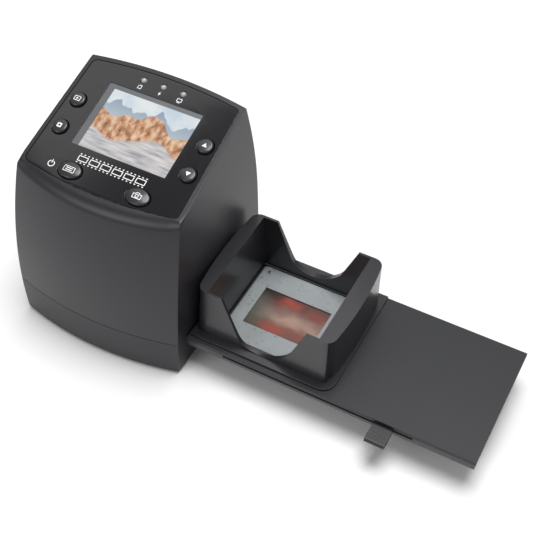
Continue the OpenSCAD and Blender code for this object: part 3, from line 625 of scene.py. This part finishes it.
# direction of the corner where a side meets the front or the back, at one height
def cornerAngle(z, atFront):
    x = math.sqrt(housing["sideRadius"] ** 2 - (z - housing["sideLevel"]) ** 2)
    x += housing["halfWidth"] - housing["sideRadius"]
    if atFront:
        low, high = formRows["frontSearch"]
        for _ in range(formRows["frontHalvings"]):
            y = (low + high) / 2
            inside = wallDistance(np.array([[0.0, y, z], [x, y, z]]))[1][1] < 0
            low, high = (low, y) if inside else (y, high)
    else:
        by, bz = housing["backCentre"]
        y = by + math.sqrt(housing["backRadius"] ** 2 - x * x - max(z - bz, 0) ** 2)
    return math.atan2(y, x)


# plan directions for one ring, crowded at the two corners of each side
def ringDirections(zFront, zBack):
    front, back = cornerAngle(zFront, True), cornerAngle(zBack, False)
    steps, crowding = formRows["quarterSteps"], formRows["crowding"]
    near = 1 - (1 - np.linspace(0, 1, steps + 1)) ** crowding
    t = np.linspace(-1, 1, 2 * steps + 1)
    both = (np.sign(t) * (1 - (1 - np.abs(t)) ** crowding) + 1) / 2
    right = np.concatenate([-quarter + (front + quarter) * near[:-1], front + (back - front) * both,
                            (quarter - (quarter - back) * near)[::-1][1:]])
    turn = np.concatenate([right, (math.pi - right)[::-1][1:-1]])
    return np.c_[np.cos(turn), np.sin(turn), np.zeros(len(turn))]


# where the sharp wall would meet the console plane, along each direction
def planeMeet(out):
    def onPlane(far):
        p = out * far[:, None]
        p[:, 2] = housing["consoleHeight"] + math.tan(tilt) * p[:, 1]
        return p

    return onPlane(lastInside(len(out), formRows["reach"], lambda mid: wallDistance(onPlane(mid))[0] < 0))


def castLevel(out, z):
    start = np.zeros((len(out), 3))
    start[:, 2] = z
    return castRays(start, out, lambda p: wallDistance(p)[0] + housing["inset"], formRows["reach"])


def castRim(out, edge, target):
    inward, down = formRows["heart"]
    heart = edge - out * inward
    heart[:, 2] = edge[:, 2] - down
    aim = target - heart
    aim = aim / np.linalg.norm(aim, axis=1)[:, None]
    return castRays(heart, aim, housingDistance, formRows["rimReach"])


# closed outer form of the housing, with every outer edge rounded
def makeHousingForm():
    top = ringDirections(*formRows["cornerGuess"])
    edge = planeMeet(top)
    atFront, atBack = formRows["quarterSteps"], 3 * formRows["quarterSteps"]
    frontCorner, backCorner = edge[atFront, 2], edge[atBack, 2]
    top = ringDirections(frontCorner, backCorner)
    edge = planeMeet(top)
    foot, bottom = housing["footEdge"], housing["bottom"]
    rows = []
    for k in range(formRows["foot"]):
        a = k / formRows["foot"] * quarter
        z = bottom + housing["inset"] + foot * (1 - math.sin(a))
        out = ringDirections(z, z)
        rows.insert(0, castLevel(out, z) - out * foot * (1 - math.cos(a)))
    for t in np.linspace(0, 1, formRows["wall"]):
        def level(height):
            return bottom + foot + t * (height - formRows["wallEnd"] - bottom - foot)

        out = ringDirections(level(frontCorner), level(backCorner))
        rows.append(castLevel(out, level(planeMeet(out)[:, 2])))
    for d in formRows["underRim"]:
        out = ringDirections(frontCorner - d, backCorner - d)
        meet = planeMeet(out)
        rows.append(castRim(out, meet, castLevel(out, meet[:, 2] - d)))
    inward = -top + np.array([0, 0, 1]) * (-math.tan(tilt) * top[:, 1])[:, None]
    for d in formRows["overRim"]:
        rows.append(castRim(top, edge, edge + inward * d))
    count, last = len(top), len(rows) - 1
    faces = ringFaces(len(rows), count)
    faces.append(tuple(range(count))[::-1])
    faces.append(tuple(last * count + i for i in range(count)))
    form = meshObject("housingForm", np.concatenate(rows) + np.array([homeX, homeY, 0]), faces)
    fixNormals(form.data)
    return form


# the form trims both CAD shells
def makeShells():
    form = makeHousingForm()
    for node, name, finish, slot in (("upper_shell", "upperShell", casePlastic, "case_plastic"),
                                     ("base_shell", "baseShell", basePlastic, "base_plastic")):
        shell = copyOfNode(node, name)
        combine(shell, form, "INTERSECT")
        print(name, "faces after rounding:", len(shell.data.polygons))
        dress(shell, "housing", finish)
        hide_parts(node)
    discard(form)


makeShells()
print("housing shells done")


# gloss overlay let into the console
overlay = {
    "top": -0.2, "thick": 1.38, "edge": 0.22, "front": -30.1, "back": 39.1, "frontBow": 209.5,
    "frontHalf": 42.0, "backHalf": 40.5, "corner": 3.0, "bowSteps": 40, "cornerSteps": 9,
    "window": (51.2, 36.8), "windowUp": 8.7, "windowCorner": 0.5,
    "roundAt": [(-35, 12.1), (-35, -4.3), (35, 12.1), (35, -4.3)], "roundHole": (4.3, 4.3),
    "ovalAt": [(-17.6, -23.3), (19.2, -23.3)], "ovalHole": (6.6, 4.7),
    "lampAt": [(-10.9, 34), (0, 34), (10.9, 34)], "lampHole": (1.62, 1.62),
}


def ringPoints(cx, cy, rx, ry, count=48):
    return [(cx + rx * math.cos(2 * math.pi * i / count), cy + ry * math.sin(2 * math.pi * i / count))
            for i in range(count)]


def roundedBox(cx, cy, w, h, r, steps=5):
    points = []
    for k, (sx, sy) in enumerate(((1, -1), (1, 1), (-1, 1), (-1, -1))):
        x, y = cx + sx * (w / 2 - r), cy + sy * (h / 2 - r)
        for i in range(steps + 1):
            a = math.radians(-90 + 90 * k + 90 * i / steps)
            points.append((x + r * math.cos(a), y + r * math.sin(a)))
    return points


# right half of the overlay's outline, front bow, two corners and back bow, then its mirror image
def overlayLoop():
    o = overlay
    y, z = housing["backCentre"]
    backV = y * math.cos(tilt) + (z - housing["consoleHeight"]) * math.sin(tilt)
    frontV, frontR = o["front"] + o["frontBow"], o["frontBow"]
    backR, r = o["back"] - backV, o["corner"]
    xFront, xBack = o["frontHalf"] - r, o["backHalf"] - r
    vFront = frontV - math.sqrt((frontR - r) ** 2 - xFront * xFront)
    vBack = backV + math.sqrt((backR - r) ** 2 - xBack * xBack)
    aFront, aBack = math.atan2(vFront - frontV, xFront), math.atan2(vBack - backV, xBack)
    bow, corner = o["bowSteps"], o["cornerSteps"]
    right = []
    for x, v, radius, turns in ((0, frontV, frontR, np.linspace(-quarter, aFront, bow)[:-1]),
                                (xFront, vFront, r, np.linspace(aFront, 0, corner)),
                                (xBack, vBack, r, np.linspace(0, aBack, corner)),
                                (0, backV, backR, np.linspace(aBack, quarter, bow)[1:])):
        right += [(x + radius * math.cos(t), v + radius * math.sin(t)) for t in turns]
    return right + [(-x, v) for x, v in right[::-1][1:-1]]


# puts a mesh drawn in console coordinates where it belongs
def ontoConsole(mesh, x=0.0, v=0.0, n=0.0):
    for vert in mesh.vertices:
        vert.co = Vector(consolePoint(vert.co.x + x, vert.co.y + v, vert.co.z + n)) * mm


# puts a mesh drawn in mm at a spot of the frame, which is in metres
def ontoFrame(mesh, spot, x=0.0, y=0.0):
    for vert in mesh.vertices:
        vert.co = Vector(((vert.co.x + x) * mm + spot[0], (vert.co.y + y) * mm + spot[1],
                          vert.co.z * mm + spot[2]))


def makeOverlay():
    o = overlay
    loops = [overlayLoop(), roundedBox(0, o["windowUp"], *o["window"], o["windowCorner"])]
    for places, hole, steps in (("roundAt", "roundHole", 48), ("ovalAt", "ovalHole", 48),
                                ("lampAt", "lampHole", 24)):
        loops += [ringPoints(x, v, *o[hole], steps) for x, v in o[places]]
    mesh = filledShape(loops, o["thick"] / 2, o["edge"])
    ontoConsole(mesh, 0, 0, o["top"] - o["thick"] / 2)
    panel = dress(sceneObject("overlayPanel", mesh), "housing", overlayGloss)
    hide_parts("control_panel")


makeOverlay()
print("console overlay done")


# a push button: domed cap, rounded shoulder, upright skirt, flange and stem
button = {"rise": 1.7, "dome": 24.0, "shoulder": 0.9, "flange": 1.2, "flangeOut": 1.25, "stem": 1.15,
          "flangeTop": -3.3, "stemEnd": -7.25, "rounds": 56, "domeSteps": 8, "shoulderSteps": 5,
          "domeEase": 0.8, "round": (3.9, 3.9), "oval": (6.2, 4.3), "smooth": 32}


def capHeight(x, y):
    return overlay["top"] + button["rise"] - (x * x + y * y) / (2 * button["dome"])


def makeButton(node, name, x, v, rx, ry):
    b = button
    s = b["shoulder"]
    turns = np.linspace(0, 2 * math.pi, b["rounds"], endpoint=False)
    rings = []

    def addRing(ax, ay, level):
        points = [(ax * math.cos(t), ay * math.sin(t), t) for t in turns]
        rings.append([consolePoint(px + x, py + v, level(px, py, t)) for px, py, t in points])

    for k in range(1, b["domeSteps"] + 1):
        out = (k / b["domeSteps"]) ** b["domeEase"] * (1 - s / min(rx, ry))
        addRing(rx * out, ry * out, lambda px, py, t: capHeight(px, py))
    for k in range(1, b["shoulderSteps"] + 1):
        a = k / b["shoulderSteps"] * quarter
        gap, drop = s * (1 - math.sin(a)), s * (1 - math.cos(a))
        addRing(rx - gap, ry - gap,
                lambda px, py, t: capHeight((rx - s) * math.cos(t), (ry - s) * math.sin(t)) - drop)
    top, under = b["flangeTop"], b["flangeTop"] - b["flange"]
    wide, stem = (rx + b["flangeOut"], ry + b["flangeOut"]), (b["stem"], b["stem"])
    for (ax, ay), n in (((rx, ry), top), (wide, top), (wide, under), (stem, under), (stem, b["stemEnd"])):
        addRing(ax, ay, lambda px, py, t: n)
    verts = sum(rings, []) + [consolePoint(x, v, capHeight(0, 0)), consolePoint(x, v, b["stemEnd"])]
    count, total = b["rounds"], len(rings)
    faces = ringFaces(total, count)
    for i in range(count):
        j = (i + 1) % count
        faces.append((total * count, j, i))
        faces.append((total * count + 1, (total - 1) * count + i, (total - 1) * count + j))
    cap = dress(meshObject(name, verts, faces), node, buttonGloss, b["smooth"])
    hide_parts(node)


for size, places, names in (
        ("round", "roundAt", (("button_review", "reviewButton"), ("button_frame", "frameButton"),
                              ("button_up", "upButton"), ("button_down", "downButton"))),
        ("oval", "ovalAt", (("button_menu", "menuButton"), ("button_scan", "scanButton")))):
    for (node, name), (x, v) in zip(names, overlay[places]):
        makeButton(node, name, x, v, *button[size])
print("buttons done")


# printed marks, drawn round their own middle: frames are width, height, line and corner, arcs radius,
# line, start and end, and bars width, height and corner
marks = {
    "lift": 0.035, "sink": 1.6, "longest": 0.45, "splits": 4,
    "playFrame": (3.4, 2.6, 0.34, 0.25), "play": [(-0.45, -0.65), (0.75, 0), (-0.45, 0.65)],
    "filmFrame": (2.3, 2.3, 0.6, 0.2),
    "up": [(-1.25, -0.95), (1.25, -0.95), (0, 1.15)], "down": [(-1.25, 0.95), (0, -1.15), (1.25, 0.95)],
    "listFrame": (5.9, 3.0, 0.3, 0.3), "listBar": (3.6, 0.45, 0.1), "listBarsAt": (-0.5, 0.5),
    "camera": [[(-2.3, -1.5), (2.3, -1.5), (2.3, 1.0), (1.2, 1.0), (0.75, 1.7), (-0.75, 1.7), (-1.2, 1.0),
                (-2.3, 1.0)],
               [(-1.95, -1.15), (1.95, -1.15), (1.95, 0.66), (1.0, 0.66), (0.56, 1.36), (-0.56, 1.36),
                (-1.0, 0.66), (-1.95, 0.66)]],
    "cameraLensUp": -0.15, "cameraLens": ((0.95, 28), (0.6, 24)),
    "powerAt": (-28.2, -23.2), "power": (1.55, 0.42, 120, 420),
    "powerBar": (0.42, 1.9, 0.15), "powerBarUp": 1.25,
    "stripAt": (0.5, -15.6), "stripFrames": 6, "stripPitch": 6.3, "stripFrame": (5.2, 2.9, 0.4, 0.3),
    "stripHole": (0.8, 0.5, 0.12), "stripHoles": (2.1, 2.25),
    "lampSignsAt": 29.9,
    "card": [[(-1.0, -1.1), (1.0, -1.1), (1.0, 1.1), (-0.4, 1.1), (-1.0, 0.5)],
             [(-0.7, -0.8), (0.7, -0.8), (0.7, 0.8), (-0.28, 0.8), (-0.7, 0.38)]],
    "mains": [[(0.35, 1.3), (-0.75, -0.15), (-0.1, -0.15), (-0.35, -1.3), (0.75, 0.25), (0.1, 0.25)]],
    "monitor": (2.7, 1.9, 0.28, 0.15), "monitorUp": 0.25,
    "monitorFoot": (1.5, 0.3, 0.08), "monitorFootUp": -1.15,
}


# printed mark: a thin film that follows the surface under it, a button's cap or the flat overlay
def layMark(name, loops, x, v, body="housing", height=None):
    lift = marks["lift"]
    mesh = filledShape(loops)
    bm = bmesh.new()
    bm.from_mesh(mesh)
    for _ in range(marks["splits"]):
        long = [e for e in bm.edges if e.calc_length() > marks["longest"]]
        if not long or height is None:
            break
        bmesh.ops.subdivide_edges(bm, edges=long, cuts=1)
        bmesh.ops.triangulate(bm, faces=[f for f in bm.faces if len(f.verts) > 4])
    for vert in bm.verts:
        vert.co.z = (height(vert.co.x, vert.co.y) if height else overlay["top"]) + lift
    under = bmesh.ops.extrude_face_region(bm, geom=bm.faces[:])
    for item in under["geom"]:
        if isinstance(item, bmesh.types.BMVert):
            item.co.z -= lift * marks["sink"]
    # the side walls come in an order that varies from run to run, so the faces are sorted
    bm.verts.index_update()
    points = [vert.co[:] for vert in bm.verts]
    faces = sorted([vert.index for vert in face.verts] for face in bm.faces)
    bm.free()
    mesh.clear_geometry()
    mesh.from_pydata(points, [], faces)
    ontoConsole(mesh, x, v)
    dress(sceneObject(name, mesh), body, markInk)


def frameLoops(cx, cy, w, h, line, r):
    return [roundedBox(cx, cy, w, h, r), roundedBox(cx, cy, w - 2 * line, h - 2 * line, max(r - line, 0.05))]


# a full turn is two closed loops, so that no wall is left inside at its seam
def arcBand(r, line, start, end, steps=20):
    angles = [math.radians(start + (end - start) * i / steps) for i in range(steps + 1)]
    outer = [((r + line / 2) * math.cos(a), (r + line / 2) * math.sin(a)) for a in angles]
    inner = [((r - line / 2) * math.cos(a), (r - line / 2) * math.sin(a)) for a in angles]
    return [outer[:-1], inner[:-1]] if end - start == 360 else [outer + inner[::-1]]


# film frames with three holes above and below each
def filmStrip():
    m = marks
    pitch, (holePitch, holeUp) = m["stripPitch"], m["stripHoles"]
    first = -pitch * (m["stripFrames"] - 1) / 2
    loops = []
    for i in range(m["stripFrames"]):
        loops += frameLoops(first + i * pitch, 0, *m["stripFrame"])
        for k in range(3):
            at = first - holePitch + i * pitch + k * holePitch
            loops += [roundedBox(at, y, *m["stripHole"], 2) for y in (-holeUp, holeUp)]
    return loops


def makeMarks():
    m = marks
    menu = frameLoops(0, 0, *m["listFrame"]) + [roundedBox(0, y, *m["listBar"], 2) for y in m["listBarsAt"]]
    camera = m["camera"] + [ringPoints(0, m["cameraLensUp"], r, r, steps) for r, steps in m["cameraLens"]]
    signs = (("playMark", "button_review", frameLoops(0, 0, *m["playFrame"]) + [m["play"]]),
             ("frameMark", "button_frame", frameLoops(0, 0, *m["filmFrame"])),
             ("upMark", "button_up", [m["up"]]), ("downMark", "button_down", [m["down"]]),
             ("menuMark", "button_menu", menu), ("cameraMark", "button_scan", camera))
    for (name, body, loops), (x, v) in zip(signs, overlay["roundAt"] + overlay["ovalAt"]):
        layMark(name, loops, x, v, body, capHeight)
    power = arcBand(*m["power"]) + [roundedBox(0, m["powerBarUp"], *m["powerBar"], 2)]
    layMark("powerMark", power, *m["powerAt"])
    layMark("filmStripMark", filmStrip(), *m["stripAt"])
    monitor = frameLoops(0, m["monitorUp"], *m["monitor"])
    monitor += [roundedBox(0, m["monitorFootUp"], *m["monitorFoot"], 2)]
    lampSigns = (("cardMark", m["card"]), ("mainsMark", m["mains"]), ("computerMark", monitor))
    for (name, loops), (x, v) in zip(lampSigns, overlay["lampAt"]):
        layMark(name, loops, x, m["lampSignsAt"])


makeMarks()
print("printed marks done")


# slab with a picture on its top face; the uv map runs across that face
def pictureSlab(name, size, thick, bevel):
    x, y = size[0] / 2, size[1] / 2
    verts = []
    for inset, z in ((0, 0), (0, thick - bevel[1]), (bevel[0], thick)):
        verts += [(-x + inset, -y + inset, z), (x - inset, -y + inset, z), (x - inset, y - inset, z),
                  (-x + inset, y - inset, z)]
    faces = [(3, 2, 1, 0), (8, 9, 10, 11)]
    for i in range(4):
        j = (i + 1) % 4
        faces += [(i, j, j + 4, i + 4), (i + 4, j + 4, j + 8, i + 8)]
    slab = meshObject(name, verts, faces, 1)
    uv = slab.data.uv_layers.new(name="picture")
    for loop in slab.data.loops:
        co = slab.data.vertices[loop.vertex_index].co
        uv.data[loop.index].uv = ((co.x + x) / (2 * x), (co.y + y) / (2 * y))
    return slab


# the picture is laminated close under the window; a grey film masks the window's left and upper border
screen = {"picture": (47.5, 34.4), "pictureAt": (1.75, 7.55), "top": -0.62, "thick": 1.3,
          "bevel": (0.25, 0.08), "frameEdge": 0.15,
          "borderTop": -0.5, "borderThick": 0.6, "borderGap": 0.06, "borderCorner": 0.1}


def makeScreen():
    s = screen
    (w, h), (x, v), gap = s["picture"], s["pictureAt"], s["borderGap"]
    glass = pictureSlab("screenPicture", s["picture"], s["thick"], s["bevel"])
    ontoConsole(glass.data, x, v, s["top"] - s["thick"])
    dress(glass, "housing", screenPicture)
    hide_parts("screen_glass")
    w2, h2 = overlay["window"]
    loops = [roundedBox(0, overlay["windowUp"], w2 - gap, h2 - gap, overlay["windowCorner"]),
             roundedBox(x - gap, v + gap, w - gap, h - gap, s["borderCorner"], 2)]
    mesh = filledShape(loops, s["borderThick"] / 2)
    ontoConsole(mesh, 0, 0, s["borderTop"] - s["borderThick"] / 2)
    dress(sceneObject("screenBorder", mesh), "housing", bezelFilm)
    roundedNode("screen_frame", "screenBezel", "housing", bezelFilm, s["frameEdge"])


makeScreen()
print("screen done")


# tray plate, plinth and hopper; places are counted in mm from the middle of the console
tray = {"top": 20.3, "rimEdge": 0.6, "footFillet": 0.4, "otherEdge": 0.3, "baseEdge": 0.3,
        "pusherEdge": 0.2, "sameLevel": 0.1}
plinth = {"top": 21.59, "edge": 1.3, "left": 47.3, "right": 122.6, "front": -30.2, "rear": -20.0,
          "corner": 7.0, "sunk": 0.2, "fillFrom": 33.0, "fillTo": 37.0}
hopper = {"top": 49.6, "from": 20.35, "edge": 0.5, "frontWall": (-24.4, -21.45436),
          "backWall": (33.5, 30.45436), "funnelSlope": 0.060402,
          "outerLean": 0.068, "innerLean": 0.097, "rightLean": 0.032, "leftLean": 0.05}
# the finger notches: a shallow sill between leaning flanks, cut through both walls
notch = {"at": 84.1, "sillAt": -1.5, "sillLow": 22.0, "sillRadius": 18.0, "sillHalf": 12.0, "blend": 1.2,
         "flankFoot": 10.33, "flankFrom": 20.7, "flankSlope": 0.4066, "fillHalf": 16, "fillTop": 31,
         "half": 26.4, "top": 62, "steps": 133, "reach": 60}
# where the draft applies, in mm: the hopper's region, its inner faces, its front part, and the fades
draft = {"low": 19.7, "left": 48, "right": 118, "front": -24.9, "plinthSkin": 21.65, "wallsFrom": 21.5,
         "innerLeft": 54.2, "innerRight": 112.7, "innerFront": -23.8, "frontPart": -15, "sidePart": -10,
         "fadeX": 4, "fadeY": 10}


# closed prism of an outline, from one level to another; spot turns outline and level into a place in mm
def prism(name, outline, low, high, spot):
    verts = [spot(a, b, level) for level in (low, high) for a, b in outline]
    count = len(outline)
    faces = [tuple(range(count)), tuple(range(count, 2 * count))]
    faces += [(i, (i + 1) % count, (i + 1) % count + count, i + count) for i in range(count)]
    obj = meshObject(name, [(x + homeX, y + homeY, z) for x, y, z in verts], faces)
    fixNormals(obj.data)
    return obj


# lower edge of the finger notches: a shallow arc that blends into the leaning flanks
def notchOutline():
    n = notch
    points = []
    for u in np.linspace(-n["half"], n["half"], n["steps"]):
        lean = n["flankFrom"] + (abs(u) - n["flankFoot"]) / n["flankSlope"]
        side = u - n["sillAt"]
        bend = min(max(side, -n["sillHalf"]), n["sillHalf"])
        rise = math.sqrt(n["sillRadius"] ** 2 - bend * bend)
        arc = n["sillLow"] + n["sillRadius"] - rise + (side - bend) * bend / rise
        soft = n["blend"] * math.log(1 + math.exp(-abs(lean - arc) / n["blend"]))
        points.append((n["at"] + u, max(lean, arc) + soft))
    return [(points[0][0], n["top"]), *points, (points[-1][0], n["top"])]


# block that closes the foot of a notch, flush with both faces of the wall
def notchFill(name, wall):
    outer, inner = wall
    foot, top = notch["flankFrom"], notch["fillTop"]
    away = math.copysign(hopper["funnelSlope"], inner) * (top - foot)
    corners = [(outer, foot), (inner, foot), (inner + away, top), (outer, top)]
    return prism(name, corners, notch["at"] - notch["fillHalf"], notch["at"] + notch["fillHalf"],
                 lambda y, z, x: (x, y, z))


def plinthOutline():
    p, r = plinth, plinth["corner"]
    x, y = p["right"] - r, p["front"] + r
    corner = [(x + r * math.sin(a), y - r * math.cos(a)) for a in np.linspace(0, quarter, 9)]
    return [(p["left"], p["rear"]), (p["left"], p["front"]), *corner, (p["right"], p["rear"])]


# radius of each edge of the tray cover, told by its level
def coverEdge(middle, convex):
    if not convex:
        return tray["footFillet"]
    for level, width in ((plinth["top"], plinth["edge"]), (tray["top"], tray["rimEdge"]),
                         (hopper["top"], hopper["edge"])):
        if abs(middle.z - level) < tray["sameLevel"]:
            return width
    return tray["otherEdge"]


# the tray's plate is matt, the hopper on it polished
def makeTrayCover():
    low, high = plinth["fillFrom"], plinth["fillTo"]
    left, right = notch["at"] - notch["fillHalf"], notch["at"] + notch["fillHalf"]
    extras = [notchFill("frontFill", hopper["frontWall"]), notchFill("backFill", hopper["backWall"])]
    for name, outline in (("plinth", plinthOutline()),
                          ("plinthFill", [(left, low), (right, low), (right, high), (left, high)])):
        extras.append(prism(name, outline, tray["top"] - plinth["sunk"], plinth["top"],
                            lambda x, y, z: (x, y, z)))
    cut = prism("notch", notchOutline(), -notch["reach"], notch["reach"], lambda x, z, y: (x, y, z))
    cover = roundedNode("tray_cover", "trayCover", "tray", trayPlastic, plinth["edge"], 4,
                        coverEdge, extras, [cut])
    print("tray cover faces:", len(cover.data.polygons))
    leanWalls(cover.data)
    cover.data.materials.append(hopperPlastic)
    for face in cover.data.polygons:
        if face.center.z > hopper["from"] * mm:
            face.material_index = 1


# draft of the hopper: its front wall leans out towards the foot, its sides a little
def leanWalls(mesh):
    h, d = hopper, draft
    for vert in mesh.vertices:
        x, y, z = vert.co.x / mm - homeX, vert.co.y / mm - homeY, vert.co.z / mm
        if z < d["low"] or x < d["left"] or x > d["right"] or y < d["front"] and z < d["plinthSkin"]:
            continue
        down = h["top"] - min(z, h["top"])
        inside = d["innerLeft"] < x < d["innerRight"] and y > d["innerFront"]
        onWall = z > d["wallsFrom"]
        if y < d["frontPart"] and (onWall or inside):
            y -= down * (h["innerLean"] if inside else h["outerLean"])
        if onWall and not inside:
            if x > d["innerRight"]:
                x += down * h["rightLean"]
            elif y < d["sidePart"]:
                fade = smoothstep((d["innerLeft"] - x) / d["fadeX"])
                x -= down * h["leftLean"] * fade * smoothstep((d["sidePart"] - y) / d["fadeY"])
        vert.co = Vector((x + homeX, y + homeY, z)) * mm


makeTrayCover()
roundedNode("tray_base", "trayBase", "tray", trayBottom, tray["baseEdge"])
roundedNode("pusher", "pusherPlate", "pusher", pusherPlastic, tray["pusherEdge"])


# slide mount: its window reaches further to the front and right; its moulded marks have a name, an
# outline and a place from the middle of the back edge
mount = {"edge": 0.2, "window": (18.6, 12.6), "grow": 1.0, "filmBevel": (0.25, 0.02),
         "markHalf": 0.05, "markSmooth": 32,
         "marks": (("mountRing", arcBand(1.7, 0.3, 20, 380), (-1.5, -5.4)),
                   ("mountHoleRim", arcBand(1.0, 0.35, -170, 100), (-21.6, -3.0)),
                   ("mountPip", [ringPoints(0, 0, 0.35, 0.35, 12)], (-13.5, -7.6)))}


def makeMount():
    piece = roundedNode("slide_mount", "slideMount", "slide", mountPlastic, mount["edge"])
    lowest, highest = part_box("slide_mount")
    middle = (lowest + highest) / 2
    halfX, halfY = mount["window"]
    for vert in piece.data.vertices:
        x, y = (vert.co.x - middle.x) / mm, (vert.co.y - middle.y) / mm
        if abs(x) < halfX and abs(y) < halfY:
            vert.co.x += mount["grow"] * mm * (x > 0)
            vert.co.y -= mount["grow"] * mm * (y < 0)


def makeFilm():
    lowest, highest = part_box("slide_film")
    size = (highest - lowest) / mm
    film = pictureSlab("filmPicture", size, size.z, mount["filmBevel"])
    ontoFrame(film.data, ((lowest.x + highest.x) / 2, (lowest.y + highest.y) / 2, lowest.z))
    dress(film, "slide", filmStock)
    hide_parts("slide_film")


def makeMountMarks():
    lowest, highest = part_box("slide_mount")
    for name, loops, (x, y) in mount["marks"]:
        mesh = filledShape(loops, mount["markHalf"])
        ontoFrame(mesh, ((lowest.x + highest.x) / 2, highest.y, highest.z), x, y)
        dress(sceneObject(name, mesh), "slide", mountPlastic, mount["markSmooth"])


makeMount()
makeFilm()
makeMountMarks()
print("tray and slide done")
